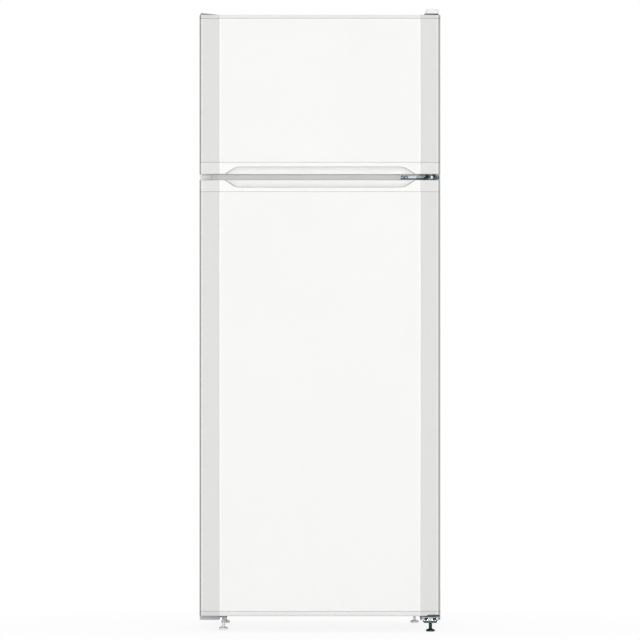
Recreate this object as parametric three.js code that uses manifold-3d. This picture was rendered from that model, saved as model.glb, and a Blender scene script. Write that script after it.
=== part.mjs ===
import * as THREE from "three";
import { mergeVertices } from "three/addons/utils/BufferGeometryUtils.js";
import Module from "manifold-3d";

// A two-door refrigerator with the freezer on top. Millimetres, +Z up, the doors face -Y,
// and the origin lies on the floor under the middle of the appliance.

const wasm = await Module();
wasm.setup();

// ---------------------------------------------------------------- driving dimensions

// Overall form
const width = 550;
const depth = 630;
const cabinetTop = 1407;
const cabinetBottom = 40;
const doorThickness = 50;
const sealDepth = 12; // from the back of a door to the front of the cabinet
const condenserSpace = 30; // from the rear panel to the rearmost point

// Sheet, mouldings and clearances
const fit = 0.3; // gap between pieces that rest on each other
const sheet = 1;
const linerWall = 2;
const runningGap = 0.4; // round a pin or stem that turns

// Doors
const fridgeDoorBottom = 36;
const doorGap = 13.8;
const stripWidth = 46.5; // bevelled strip down each side of a door
const stripSetback = 14; // how far the strip falls back at the door's side
const doorEdgeRadius = 4;
const skinReturn = 14;
const topCapHeight = 8;
const gripCapHeight = 26.5;
const bottomCapHeight = 11;
const capPlug = 8; // part of an end cap that stands inside the skin
const hingeInset = 23; // from the door's side to the hinge axis

// Grip scoops above and below the gap
const scoopSideInset = 58; // from the door's side to the scoop's end
const scoopEnd = 36; // sloping length at each end
const scoopHeight = 17;
const scoopDepth = 18;
const scoopFullness = 0.92; // 0.5 is a straight slope, 1 is a full cove
const scoopSteepness = 1.38; // of the sloping end, where 1 would reach full height without a curve
const grooveEndInset = 10; // from the scoop's flat part to the finger groove's end
const grooveFront = 27;
const grooveBack = 43;
const grooveHeight = 10;

// Door liners and gaskets
const panRise = 15; // how far the liner's pan stands into the compartment
const panInset = 8; // from the compartment's opening to the pan
const fridgePanSideInset = 19;
const freezerPanSideInset = 21;
const dikeWidth = 34;
const dikeTaper = 8;
const dikeReach = 60;
const gasketSideInset = 25;
const gasketEndInset = 7;
const gasketWidth = 16;

// Compartments
const fridgeWall = 44;
const freezerWall = 54;
const floorWall = 55;
const dividerWall = 63; // between the two compartments
const roofWall = 50;
const fridgeRearWall = 45;
const freezerRearWall = 57;
const bayWall = 40; // between the compressor bay and the fridge
const freezerHeight = 288.6;
const stepRadius = 18;
const freezerCornerRadius = 18;
const gutterWidth = 26; // drain gutter along the foot of the fridge's rear wall
const gutterDepth = 8;
const spoutRadius = 9;
const spoutWall = 2;
const spoutDrop = 8; // below the bay's roof
const wallLap = 3; // thickness of what stands in front of the foam at the cabinet's front
const evaporatorWidth = 340;
const evaporatorHeight = 380;
const evaporatorRise = 425; // from the fridge's floor
const evaporatorThickness = 3;

// Rails between and below the compartments
const railInset = 5.5; // from a compartment to the middle rail
const railRib = 8; // height of the stiffening rib behind the middle rail
const kickHeight = 40;

// Compressor bay
const bayDepth = 185;
const bayHeadroom = 20.4; // above the tray on the compressor

// Base rails and feet
const baseRailWidth = 45;
const baseRailBottom = 25;
const baseRailWall = 2.5;
const baseFlange = 30;
const footOffset = 8; // from the base rail's inner side to a light foot's axis
const footFrontSetback = 88; // from the cabinet front
const footRearSetback = 60; // from the rear panel
const footDiscRadius = 10.5;
const footDiscHeight = 7.5;
const footStemRadius = 3.5;
const footBossRadius = 9;
const footBossDrop = 9;

// Hinges
const hingeAxisDepth = 28; // behind the door's front
const pinRadius = 5;
const pinReach = 9;
const pinEndGap = 1;
const hingePlate = 3;
const topPlateWidth = 33;
const topPlateReach = 70; // behind the cabinet's front
const topPlateNose = 14; // in front of the hinge axis
const topPlateThickness = 2.5;
const hingeCapWidth = 30;
const hingeCapHeight = 11;
const hingeCapWall = 1.6;
const bracketSideInset = 5; // from the cabinet's side to the lower two brackets
const middlePlateLength = 88;
const middlePlateHeight = 11;
const middleArmInset = 26; // from the arm's far edge to the hinge axis
const middleArmNose = 14; // radius of the arm round the hinge axis
const pinCollar = 3; // how far the collar stands out round the middle pin
const bottomPlateLength = 37;
const bottomPlateDrop = 1.5; // below the door
const bottomPlateSetback = 12; // behind the door's front
const bottomLipDepth = 13; // how far the front lip hangs below the plate
const slotLength = 9;
const slotHeight = 3;
const plugLength = 22;
const plugDepth = 20;
const holeCoverLength = 46;
const holeCoverDepth = 60;
const holeCoverHeight = 6;
const coverSideInset = 4; // from the cabinet's side to the hinge pieces on its top
const holeCoverSideInset = 1.5;
const screwEndGap = 6.5; // from the middle plate's end to the first screw
const screwPitch = 8.5;
const screwHeadRadius = 3.4;
const screwHeadHeight = 2.2;

// Shelves
const glass = 4;
const shelfFrontSetback = 125; // from the cabinet front
const shelfRearGap = 12;
const shelfSideGap = 1.5;
const shelfLedge = 8;
const ledgeHeight = 8;
const ledgeLip = 2; // height of a ledge's outer edge
const ledgeSetback = 6; // behind the shelves' front
const ledgeLength = 270;
const coverLedgeRearGap = 14; // from the crisper cover's ledges to the step
const ledgeFirstRise = 317; // from the fridge's floor
const ledgeTopGap = 93.4; // from the highest ledge to the ceiling
const ledgeCount = 6; // on each wall
const shelfEvery = 2; // each second ledge carries a shelf
const crisperCoverGap = 17; // from the drawers to the ledge of their cover
const trimHeight = 14;
const trimDepth = 10;
const freezerShelfRise = 137; // from the freezer's floor
const freezerShelfThickness = 6;
const trayWidth = 150;
const trayDepth = 32;
const traySideGap = 25;
const traySetback = 40; // behind the freezer shelf's front
const trayRearGap = 23; // in front of the freezer shelf's back
const trayRim = 4;
const slotCount = 9;
const slotWidth = 14;
const slotEndGap = 30;

// Drawers and racks
const trayWall = 2.2;
const crisperHeight = 150;
const crisperGap = 6;
const crisperDraft = 12;
const crisperLipInset = 20; // from each side of the drawer
const rackDepth = 90;
const bottleRackHeight = 105;
const rackHeight = 62;
const rackCut = 22; // how much lower the side facing the compartment is
const rackRadius = 14;
const rackPeg = 5;
const pegSetback = 20; // from the liner's face
const pegEndGap = 8; // to the end of the dike or rack
const freezerRackDepth = 72;
const fridgeRackPlaces = [0.015, 0.42, 0.74]; // as shares of the pan's height
const freezerRackPlace = 0.08;

// Light and thermostat housing under the fridge ceiling
const housingWidth = 190;
const housingDepth = 140;
const housingHeight = 34;
const housingSetback = 38; // from the cabinet front
const housingWall = 2;
const lampWindowWidth = 90;
const lampWindowDepth = 70;
const knobRadius = 13;
const knobDial = 5; // thickness of the knob's round part
const knobBar = 7; // how far the finger bar stands out of it
const knobBarWidth = 5;
const knobOffset = -55;
const shaftRadius = 3;
const shaftReach = 12; // into the housing
const switchOffset = 60;
const switchWidth = 8;
const switchReach = 12; // into the housing
const switchCollar = 2;
const switchGap = 1; // from the closed door's liner to the plunger's tip
const lampCoverDrop = 3; // below the housing
const lampCoverWall = 1.5;

// Compressor and its pipes
const compressorRadius = 74;
const compressorStretch = 1.2; // from side to side
const compressorSquash = 0.92; // from front to back
const seamWidth = 2; // how far the welded seam stands out
const compressorHeight = 160;
const compressorOffset = 60; // to the right of the middle
const mountHeight = 14;
const mountRadius = 8;
const mountSpreadX = 82; // from the pot's middle to a mount
const mountSpreadY = 48;
const mountPlate = 3;
const mountPlateEdge = 12; // from a mount's middle to the plate's edge
const stubLength = 18;
const relayLength = 34;
const relayWidth = 52;
const relayHeight = 62;
const basinWidth = 176; // evaporation tray
const basinDepth = 132;
const basinHeight = 32;
const basinWall = 2;
const bayPlate = 2; // thickness of the compressor tray
const bayPlateUpturn = 14;
const glandRadius = 6.5;
const glandBore = 4;
const glandFlange = 2.5;
const glandFlangeRadius = 9.5;
const glandEndInset = 55; // from the tray's end to the gland's middle
const tubeRadius = 3;
const passCount = 13; // an odd number, so that the outlet is on the right
const condenserSideGap = 31;
const riserBend = 14; // bends of the discharge tube
const condenserRise = 75; // from the bay's roof to the lowest pass
const condenserTopGap = 102; // from the highest pass to the cabinet's top
const condenserStandoff = 12; // from the rear panel to the pipe's middle
const wireCount = 7;
const wireThickness = 1.6;
const wireTail = 14; // how far the wires pass the outer pipes
const wireBracketGap = 15; // from the outer wires to the brackets
const bracketInset = 84; // from the cabinet's side to a condenser bracket
const bracketWidth = 9;
const bracketReach = 22; // beyond the outer passes
const spacerHeight = 24;
const drierDrop = 36; // from the lowest pass to the drier
const drierLength = 96;
const drierRadius = 9;

// ---------------------------------------------------------------- derived planes

const halfWidth = width / 2;
const doorFront = -depth / 2;
const doorBack = doorFront + doorThickness;
const cabinetFront = doorBack + sealDepth;
const rearFace = depth / 2 - condenserSpace;
const fridgeFloor = cabinetBottom + floorWall;
const freezerCeiling = cabinetTop - roofWall;
const freezerFloor = freezerCeiling - freezerHeight;
const fridgeCeiling = freezerFloor - dividerWall;
const gapMiddle = (fridgeCeiling + freezerFloor) / 2;
const fridgeDoorTop = gapMiddle - doorGap / 2;
const freezerDoorBottom = gapMiddle + doorGap / 2;
const freezerDoorTop = cabinetTop - fit;
const creaseX = halfWidth - stripWidth;
const hingeX = halfWidth - hingeInset;
const hingeY = doorFront + hingeAxisDepth;
const fridgeHalf = halfWidth - fridgeWall;
const freezerHalf = halfWidth - freezerWall;
const fridgeRear = rearFace - fridgeRearWall;
const freezerRear = rearFace - freezerRearWall;
const bayFront = rearFace - bayDepth;
const trayTop = cabinetBottom + sheet + bayPlate;
const potLow = trayTop + fit + mountHeight;
const potHigh = potLow + compressorHeight;
const bayTop = potHigh + fit + basinHeight + bayHeadroom;
const stepY = bayFront - bayWall;
const stepZ = bayTop + bayWall;
const flangeWidth = fridgeWall - 2 * linerWall;
const flangeInner = halfWidth - flangeWidth;
const kickTop = cabinetBottom + kickHeight;
const railLow = fridgeCeiling + railInset;
const railHigh = freezerFloor - railInset;
const ledgeFirst = fridgeFloor + ledgeFirstRise;
const ledgePitch = (fridgeCeiling - ledgeTopGap - ledgeFirst) / (ledgeCount - 1);
const crisperCoverHeight = fridgeFloor + crisperHeight + crisperCoverGap;
const freezerShelfHeight = freezerFloor + freezerShelfRise;
const shelfFront = cabinetFront + shelfFrontSetback;
const scoopMouth = width - 2 * scoopSideInset;
const scoopFlat = scoopMouth - 2 * scoopEnd;
const tubeY = rearFace + condenserStandoff;
const bracketEnd = halfWidth - bracketSideInset;
const middlePlateStart = bracketEnd - middlePlateLength;

// ---------------------------------------------------------------- making solids

function solid(geometry) {
  const bare = geometry.index ? geometry.toNonIndexed() : geometry.clone();
  bare.deleteAttribute("normal");
  bare.deleteAttribute("uv");
  const merged = mergeVertices(bare, 1e-4);
  const vertProperties = merged.attributes.position.array;
  const triVerts = new Uint32Array(merged.index.array);
  return new wasm.Manifold(new wasm.Mesh({ numProp: 3, vertProperties, triVerts }));
}

function join(first, ...others) {
  return others.reduce((whole, piece) => whole.add(piece), first);
}

function cut(first, ...others) {
  return others.reduce((whole, piece) => whole.subtract(piece), first);
}

function block([x0, x1], [y0, y1], [z0, z1]) {
  const geometry = new THREE.BoxGeometry(x1 - x0, y1 - y0, z1 - z0);
  geometry.translate((x0 + x1) / 2, (y0 + y1) / 2, (z0 + z1) / 2);
  return solid(geometry);
}

function extrude(shape, length, curveSegments) {
  return new THREE.ExtrudeGeometry(shape, { depth: length, bevelEnabled: false, curveSegments });
}

// An outline in X and Y, raised along Z.
function prismZ(shape, [z0, z1], curveSegments = 4) {
  return solid(extrude(shape, z1 - z0, curveSegments).translate(0, 0, z0));
}

// An outline in Y and Z, drawn out along X.
function prismX(shape, [x0, x1], curveSegments = 4) {
  const turn = new THREE.Matrix4().makeBasis(
    new THREE.Vector3(0, 1, 0),
    new THREE.Vector3(0, 0, 1),
    new THREE.Vector3(1, 0, 0),
  );
  return solid(extrude(shape, x1 - x0, curveSegments).applyMatrix4(turn).translate(x0, 0, 0));
}

// An outline in X and Z, drawn out along Y.
function prismY(shape, [y0, y1], curveSegments = 4) {
  const turn = new THREE.Matrix4().makeBasis(
    new THREE.Vector3(1, 0, 0),
    new THREE.Vector3(0, 0, 1),
    new THREE.Vector3(0, -1, 0),
  );
  return solid(extrude(shape, y1 - y0, curveSegments).applyMatrix4(turn).translate(0, y1, 0));
}

function outline(points) {
  return new THREE.Shape(points.map(([a, b]) => new THREE.Vector2(a, b)));
}

function roundedRectangle([x0, x1], [y0, y1], radius) {
  const shape = new THREE.Shape();
  const quarter = Math.PI / 2;
  shape.moveTo(x0 + radius, y0);
  shape.lineTo(x1 - radius, y0);
  shape.absarc(x1 - radius, y0 + radius, radius, -quarter, 0);
  shape.lineTo(x1, y1 - radius);
  shape.absarc(x1 - radius, y1 - radius, radius, 0, quarter);
  shape.lineTo(x0 + radius, y1);
  shape.absarc(x0 + radius, y1 - radius, radius, quarter, 2 * quarter);
  shape.lineTo(x0, y0 + radius);
  shape.absarc(x0 + radius, y0 + radius, radius, 2 * quarter, 3 * quarter);
  return shape;
}

// A profile of [radius, height] pairs turned about a vertical axis.
function turned(profile, x, y, segments = 16) {
  const points = profile.map(([radius, height]) => new THREE.Vector2(radius, height));
  return solid(new THREE.LatheGeometry(points, segments).rotateX(Math.PI / 2).translate(x, y, 0));
}

function upright(radius, [z0, z1], x, y, segments = 16) {
  const geometry = new THREE.CylinderGeometry(radius, radius, z1 - z0, segments);
  return solid(geometry.rotateX(Math.PI / 2).translate(x, y, (z0 + z1) / 2));
}

// A round bar from front to back.
function lengthways(radius, [y0, y1], x, z, segments = 16) {
  const geometry = new THREE.CylinderGeometry(radius, radius, y1 - y0, segments);
  return solid(geometry.translate(x, (y0 + y1) / 2, z));
}

// A round bar from side to side.
function crossways(radius, [x0, x1], y, z, segments = 16) {
  const geometry = new THREE.CylinderGeometry(radius, radius, x1 - x0, segments);
  return solid(geometry.rotateZ(Math.PI / 2).translate((x0 + x1) / 2, y, z));
}

// A path through given corners, sampled at those corners and nowhere else.
class CornerPath extends THREE.Curve {
  constructor(corners) {
    super();
    this.corners = corners;
  }

  getPoint(t) {
    const place = t * (this.corners.length - 1);
    const index = Math.min(Math.floor(place), this.corners.length - 2);
    return this.corners[index].clone().lerp(this.corners[index + 1], place - index);
  }

  getUtoTmapping(u) {
    return u;
  }
}

// A pipe of six sides along the corners, with a flat side to the front and back.
function pipe(corners, radius) {
  const section = new THREE.Shape();
  for (let i = 0; i < 6; i++) {
    const angle = (i * Math.PI) / 3;
    const place = [radius * Math.cos(angle), radius * Math.sin(angle)];
    if (i === 0) section.moveTo(...place);
    else section.lineTo(...place);
  }
  const extrudePath = new CornerPath(corners);
  return solid(new THREE.ExtrudeGeometry(section, { steps: corners.length - 1, extrudePath }));
}

function mirrored(shape) {
  return shape.mirror([1, 0, 0]);
}

// ---------------------------------------------------------------- finishes and the tree

const root = new THREE.Group();

function finish(color, roughness, metalness = 0) {
  return new THREE.MeshStandardMaterial({ color, roughness, metalness });
}

const whiteSteel = finish(0xf5f5f3, 0.35);
const greySteel = finish(0xdededc, 0.4);
const whitePlastic = finish(0xf1f1ef, 0.45);
const capPlastic = finish(0xf0f0ee, 0.4);
const greyPlastic = finish(0xb4b6b8, 0.5);
const palePlastic = finish(0xd9dadb, 0.5);
const darkPlastic = finish(0x26272a, 0.6);
const clearPlastic = finish(0xe4eef2, 0.2);
const rubber = finish(0xe3e3e1, 0.8);
const foam = finish(0xe8dcae, 0.9);
const zincSteel = finish(0xb9bec4, 0.35, 0.9);
const darkSteel = finish(0x4b5560, 0.4, 0.8);
const blackSteel = finish(0x1c1d1f, 0.45, 0.3);
const copper = finish(0xb87350, 0.35, 0.9);
const aluminium = finish(0xc9ccce, 0.4, 0.9);
const clearGlass = finish(0xdfeeea, 0.05);

function place(name, body, material, parent = root) {
  const { vertProperties, triVerts } = body.getMesh();
  const geometry = new THREE.BufferGeometry();
  geometry.setAttribute("position", new THREE.BufferAttribute(vertProperties, 3));
  geometry.setIndex(new THREE.BufferAttribute(triVerts, 1));
  geometry.computeVertexNormals();
  const mesh = new THREE.Mesh(geometry, material);
  mesh.name = name;
  parent.add(mesh);
}

// ---------------------------------------------------------------- cabinet

// Steel wrapper: both sides and the top, with a flange turned in round the front.
function cabinetShell() {
  const inner = halfWidth - sheet;
  return cut(
    block([-halfWidth, halfWidth], [cabinetFront, rearFace], [cabinetBottom, cabinetTop]),
    block([-inner, inner], [cabinetFront + sheet, rearFace + 1], [cabinetBottom - 1, cabinetTop - sheet]),
    block(
      [-flangeInner, flangeInner],
      [cabinetFront - 1, cabinetFront + 2 * sheet],
      [cabinetBottom - 1, cabinetTop - flangeWidth],
    ),
  );
}

function rearPanel() {
  const side = halfWidth - sheet - fit;
  return block([-side, side], [rearFace - sheet, rearFace], [bayTop + fit, cabinetTop - sheet - fit]);
}

// Folded plate under the cabinet: kick strip at the front, floor, bay front and bay roof.
function bottomPlate() {
  const y0 = cabinetFront;
  const y1 = rearFace;
  const z0 = cabinetBottom;
  const fold = outline([
    [y0, z0],
    [bayFront, z0],
    [bayFront, bayTop - sheet],
    [y1, bayTop - sheet],
    [y1, bayTop],
    [bayFront - sheet, bayTop],
    [bayFront - sheet, z0 + sheet],
    [y0 + sheet, z0 + sheet],
    [y0 + sheet, kickTop],
    [y0, kickTop],
  ]);
  const wide = halfWidth - sheet - fit;
  const plate = prismX(fold, [-wide, wide]);
  const behindFlange = block(
    [flangeInner - fit, wide + 1],
    [cabinetFront - 1, cabinetFront + sheet + fit],
    [cabinetBottom - 1, kickTop + 1],
  );
  return cut(plate, behindFlange, mirrored(behindFlange), spoutBar(spoutRadius + fit));
}

function middleRail() {
  const side = flangeInner - fit;
  const strip = [cabinetFront, cabinetFront + sheet];
  const rib = [cabinetFront, cabinetFront + wallLap];
  const middle = (railLow + railHigh) / 2;
  return join(
    block([-side, side], strip, [railLow, railHigh]),
    block([-side, side], rib, [middle - railRib / 2, middle + railRib / 2]),
  );
}

// The hollow of the fridge, grown by a margin: its floor steps up over the compressor bay.
function fridgeHollow(grow, front) {
  const shape = new THREE.Shape();
  const radius = stepRadius;
  const low = fridgeFloor - grow;
  const rise = stepZ - grow;
  const inner = stepY + grow;
  const back = fridgeRear + grow;
  const high = fridgeCeiling + grow;
  shape.moveTo(front, low);
  shape.lineTo(inner - radius, low);
  shape.quadraticCurveTo(inner, low, inner, low + radius);
  shape.lineTo(inner, rise - radius);
  shape.quadraticCurveTo(inner, rise, inner + radius, rise);
  shape.lineTo(back - gutterWidth - gutterDepth - 2 * grow, rise);
  shape.lineTo(back - gutterWidth - 2 * grow, rise - gutterDepth);
  shape.lineTo(back - radius / 2, rise - gutterDepth);
  shape.quadraticCurveTo(back, rise - gutterDepth, back, rise - gutterDepth + radius / 2);
  shape.lineTo(back, high - radius);
  shape.quadraticCurveTo(back, high, back - radius, high);
  shape.lineTo(front, high);
  return prismX(shape, [-fridgeHalf - grow, fridgeHalf + grow], 3);
}

// The hollow of the freezer, grown by a margin.
function freezerHollow(grow, front) {
  const side = freezerHalf + grow;
  const high = freezerCeiling + grow;
  const shape = roundedRectangle([-side, side], [freezerFloor - grow, high], freezerCornerRadius);
  return prismY(shape, [front, freezerRear + grow], 3);
}

function linerFlange([z0, z1]) {
  const side = flangeInner - fit;
  return block([-side, side], [cabinetFront, cabinetFront + linerWall], [z0, z1]);
}

// Pairs of ledges on the side walls.
function ledgePair(half, length, height) {
  const front = shelfFront + ledgeSetback;
  const ledge = outline([
    [half + linerWall / 2, height],
    [half - shelfLedge, height],
    [half - shelfLedge, height - ledgeLip],
    [half + linerWall / 2, height - ledgeHeight],
  ]);
  const right = prismY(ledge, [front, front + length]);
  return [right, mirrored(right)];
}

// Where the gutter drains: a spout down to the tray on the compressor.
const spoutX = compressorOffset;
const spoutY = fridgeRear - gutterWidth / 2;

function spoutBar(radius, over = 0) {
  const range = [bayTop - sheet - spoutDrop - over, stepZ - gutterDepth + 1];
  return upright(radius, range, spoutX, spoutY, 12);
}

function fridgeLedgeHeight(index) {
  return ledgeFirst + index * ledgePitch;
}

function fridgeLiner() {
  const body = join(
    fridgeHollow(linerWall, cabinetFront),
    linerFlange([kickTop + fit, railLow - fit]),
  );
  const ledges = [];
  for (let i = 0; i < ledgeCount; i++) {
    ledges.push(...ledgePair(fridgeHalf, ledgeLength, fridgeLedgeHeight(i)));
  }
  const coverLength = stepY - shelfFront - ledgeSetback - coverLedgeRearGap;
  ledges.push(...ledgePair(fridgeHalf, coverLength, crisperCoverHeight));
  const shell = cut(
    join(body, spoutBar(spoutRadius)),
    fridgeHollow(0, cabinetFront - 1),
    spoutBar(spoutRadius - spoutWall, 1),
  );
  return join(shell, ...ledges);
}

function freezerLiner() {
  const body = join(
    freezerHollow(linerWall, cabinetFront),
    linerFlange([railHigh + fit, cabinetTop - flangeWidth - fit]),
  );
  const ledges = ledgePair(freezerHalf, ledgeLength, freezerShelfHeight);
  return join(cut(body, freezerHollow(0, cabinetFront - 1)), ...ledges);
}

// Foam between the wrapper and the liners.
function cabinetFoam() {
  const side = halfWidth - sheet - fit;
  const clear = linerWall + fit;
  const front = cabinetFront + wallLap + fit;
  const floor = cabinetBottom + sheet + fit;
  const body = cut(
    block([-side, side], [front, rearFace - sheet - fit], [floor, cabinetTop - sheet - fit]),
    block(
      [-halfWidth, halfWidth],
      [bayFront - sheet - fit, rearFace],
      [cabinetBottom, bayTop + fit],
    ),
  );
  return cut(
    body,
    fridgeHollow(clear, cabinetFront - 1),
    freezerHollow(clear, cabinetFront - 1),
    evaporatorForm(fit),
    spoutBar(spoutRadius + fit),
  );
}

// Cooling plate set in the foam against the fridge's rear wall.
function evaporatorForm(grow) {
  const y = fridgeRear + linerWall + fit;
  const low = fridgeFloor + evaporatorRise;
  return block(
    [-evaporatorWidth / 2 - grow, evaporatorWidth / 2 + grow],
    [y - grow, y + evaporatorThickness + grow],
    [low - grow, low + evaporatorHeight + grow],
  );
}

// Skid under each side of the cabinet, with a flange that carries the feet.
function baseRail() {
  const outer = -halfWidth;
  const inner = outer + baseRailWidth;
  const top = cabinetBottom - fit;
  const front = cabinetFront + sheet;
  const wall = baseRailWall;
  const section = outline([
    [outer, top],
    [outer, baseRailBottom],
    [inner, baseRailBottom],
    [inner, top - wall],
    [inner + baseFlange, top - wall],
    [inner + baseFlange, top],
  ]);
  return cut(
    prismY(section, [front, rearFace]),
    block([outer + wall, inner - wall], [front + wall, rearFace + 1], [baseRailBottom + wall, top + 1]),
  );
}

function footBoss(rail, x, y) {
  const top = cabinetBottom - fit;
  const low = top - baseRailWall - footBossDrop;
  return cut(
    join(rail, upright(footBossRadius, [low, top - 0.5], x, y)),
    upright(footStemRadius + runningGap, [low - 1, top + 1], x, y),
  );
}

const footX = halfWidth - baseRailWidth - footOffset;
const footFrontY = cabinetFront + footFrontSetback;
const footRearY = rearFace - footRearSetback;

function baseRailLeft() {
  return footBoss(footBoss(baseRail(), -footX, footFrontY), -footX, footRearY);
}

function baseRailRight() {
  return footBoss(mirrored(baseRail()), footX, footRearY);
}

// Foot on a threaded stem.
function foot(x, y, top) {
  const r = footDiscRadius;
  const h = footDiscHeight;
  const profile = [
    [0, 0],
    [r - 1.5, 0],
    [r, 1.5],
    [r, h - 3],
    [r - 3, h - 0.6],
    [footStemRadius, h],
    [footStemRadius, top],
    [0, top],
  ];
  return turned(profile, x, y);
}

place("cabinet_shell", cabinetShell(), whiteSteel);
place("rear_panel", rearPanel(), greySteel);
place("bottom_plate", bottomPlate(), whiteSteel);
place("middle_rail", middleRail(), whiteSteel);
place("fridge_liner", fridgeLiner(), whitePlastic);
place("freezer_liner", freezerLiner(), whitePlastic);
place("cabinet_foam", cabinetFoam(), foam);
place("evaporator_plate", evaporatorForm(0), aluminium);
place("base_rail_left", baseRailLeft(), greyPlastic);
place("base_rail_right", baseRailRight(), greyPlastic);
const footTop = cabinetBottom - 2 * fit;
place("foot_front_left", foot(-footX, footFrontY, footTop), palePlastic);
place("foot_rear_left", foot(-footX, footRearY, footTop), palePlastic);
place("foot_rear_right", foot(footX, footRearY, footTop), palePlastic);

// ---------------------------------------------------------------- hinges

const topPlateLow = cabinetTop + fit;
const topPlateHigh = topPlateLow + topPlateThickness;
const topPlateX = [halfWidth - coverSideInset - topPlateWidth, halfWidth - coverSideInset];
const topPlateY = [hingeY - topPlateNose, cabinetFront + topPlateReach];

function topHingeBracket() {
  const plate = prismZ(roundedRectangle(topPlateX, topPlateY, 9), [topPlateLow, topPlateHigh]);
  const pinLow = freezerDoorTop - pinReach;
  return join(plate, upright(pinRadius, [pinLow, topPlateLow + 1], hingeX, hingeY));
}

// Moulded cap over the top hinge, open underneath.
function topHingeCap() {
  const low = topPlateHigh + fit;
  const high = low + hingeCapHeight;
  const x = [topPlateX[1] - hingeCapWidth, topPlateX[1]];
  const y = [topPlateY[0] + 2, topPlateY[1] - 2];
  const outer = prismZ(roundedRectangle(x, y, 7), [low, high]);
  const inner = prismZ(
    roundedRectangle(
      [x[0] + hingeCapWall, x[1] - hingeCapWall],
      [y[0] + hingeCapWall, y[1] - hingeCapWall],
      5,
    ),
    [low - 1, high - hingeCapWall],
  );
  return cut(outer, inner);
}

// Low wedge that closes the unused hinge holes at the other side.
function topHoleCover() {
  const left = -halfWidth + holeCoverSideInset;
  const low = cabinetTop + fit;
  const front = cabinetFront + 2 * sheet;
  const side = outline([
    [left, low],
    [left + holeCoverLength, low],
    [left + holeCoverLength, low + 1.5],
    [left + holeCoverHeight / 2, low + holeCoverHeight],
    [left, low + holeCoverHeight - 1],
  ]);
  return prismY(side, [front, front + holeCoverDepth]);
}

const armLow = gapMiddle - hingePlate / 2;
const armHigh = armLow + hingePlate;
const bracketBack = cabinetFront - fit;

// Screw head with a cross recess, in front of the bracket's back plate.
function screwHead(x) {
  const y = bracketBack - hingePlate - fit;
  const face = y - screwHeadHeight;
  const arm = screwHeadRadius * 0.66;
  const slit = 0.6;
  return cut(
    lengthways(screwHeadRadius, [face, y], x, gapMiddle, 14),
    block([x - arm, x + arm], [face - 1, face + 1], [gapMiddle - slit, gapMiddle + slit]),
    block([x - slit, x + slit], [face - 1, face + 1], [gapMiddle - arm, gapMiddle + arm]),
  );
}

// Angle bracket in the gap: back plate on the rail, and an arm with a pin up and a pin down.
function middleHingeBracket() {
  const plateLow = gapMiddle - middlePlateHeight / 2;
  const backPlate = prismY(
    roundedRectangle([middlePlateStart, bracketEnd], [plateLow, plateLow + middlePlateHeight], 2),
    [bracketBack - hingePlate, bracketBack],
    2,
  );
  const arm = new THREE.Shape();
  const nose = middleArmNose;
  arm.moveTo(hingeX - middleArmInset, bracketBack - hingePlate / 2);
  arm.lineTo(hingeX - nose, hingeY + nose / 2);
  arm.lineTo(hingeX - nose, hingeY);
  arm.absarc(hingeX, hingeY, nose, Math.PI, 2 * Math.PI);
  arm.lineTo(hingeX + nose, bracketBack - hingePlate / 2);
  return join(
    backPlate,
    prismZ(arm, [armLow, armHigh], 8),
    upright(pinRadius, [fridgeDoorTop - pinReach, freezerDoorBottom + pinReach], hingeX, hingeY),
    upright(pinRadius + pinCollar, [fridgeDoorTop + 1, freezerDoorBottom - 1], hingeX, hingeY),
  );
}

// Plug that closes the gap where a left-hand hinge would sit.
function gapCoverPlug() {
  const low = gapMiddle - middlePlateHeight / 2;
  const start = -halfWidth + coverSideInset;
  const face = roundedRectangle([start, start + plugLength], [low, low + middlePlateHeight], 2);
  return prismY(face, [bracketBack - plugDepth, bracketBack], 2);
}

// Bracket under the door: plate with the pin, front lip with two slots, flange on the base rail.
const bottomPlateHigh = fridgeDoorBottom - bottomPlateDrop;
const bottomPlateLow = bottomPlateHigh - hingePlate;

function bottomHingeBracket() {
  const x = [bracketEnd - bottomPlateLength, bracketEnd];
  const front = doorFront + bottomPlateSetback;
  const back = cabinetFront + sheet - fit;
  const lipLow = bottomPlateHigh - bottomLipDepth;
  const bend = bottomLipDepth * 0.6;
  const lip = new THREE.Shape();
  lip.moveTo(x[0], bottomPlateHigh);
  lip.lineTo(x[0], lipLow + bend);
  lip.quadraticCurveTo(x[0] + 1, lipLow, x[0] + bend, lipLow);
  lip.lineTo(x[1] - bend, lipLow);
  lip.quadraticCurveTo(x[1] - 1, lipLow, x[1], lipLow + bend);
  lip.lineTo(x[1], bottomPlateHigh);
  const slotTop = bottomPlateLow - 0.5;
  const middle = (x[0] + x[1]) / 2;
  for (const side of [-1, 1]) {
    const slotX = middle + (side * bottomPlateLength) / 4;
    const span = [slotX - slotLength / 2, slotX + slotLength / 2];
    lip.holes.push(roundedRectangle(span, [slotTop - slotHeight, slotTop], 1.2));
  }
  const bossRadius = footStemRadius * 2;
  const bossLow = bottomPlateLow - footStemRadius * 2;
  return cut(
    join(
      block(x, [front, back], [bottomPlateLow, bottomPlateHigh]),
      prismY(lip, [front, front + hingePlate], 3),
      block(x, [back - hingePlate, back], [baseRailBottom + 1, bottomPlateHigh]),
      upright(pinRadius, [bottomPlateHigh - 0.5, fridgeDoorBottom + pinReach], hingeX, hingeY),
      upright(bossRadius, [bossLow, bottomPlateLow + 0.5], hingeX, hingeY),
    ),
    upright(footStemRadius + runningGap, [bossLow - 1, bottomPlateLow], hingeX, hingeY),
  );
}

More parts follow.
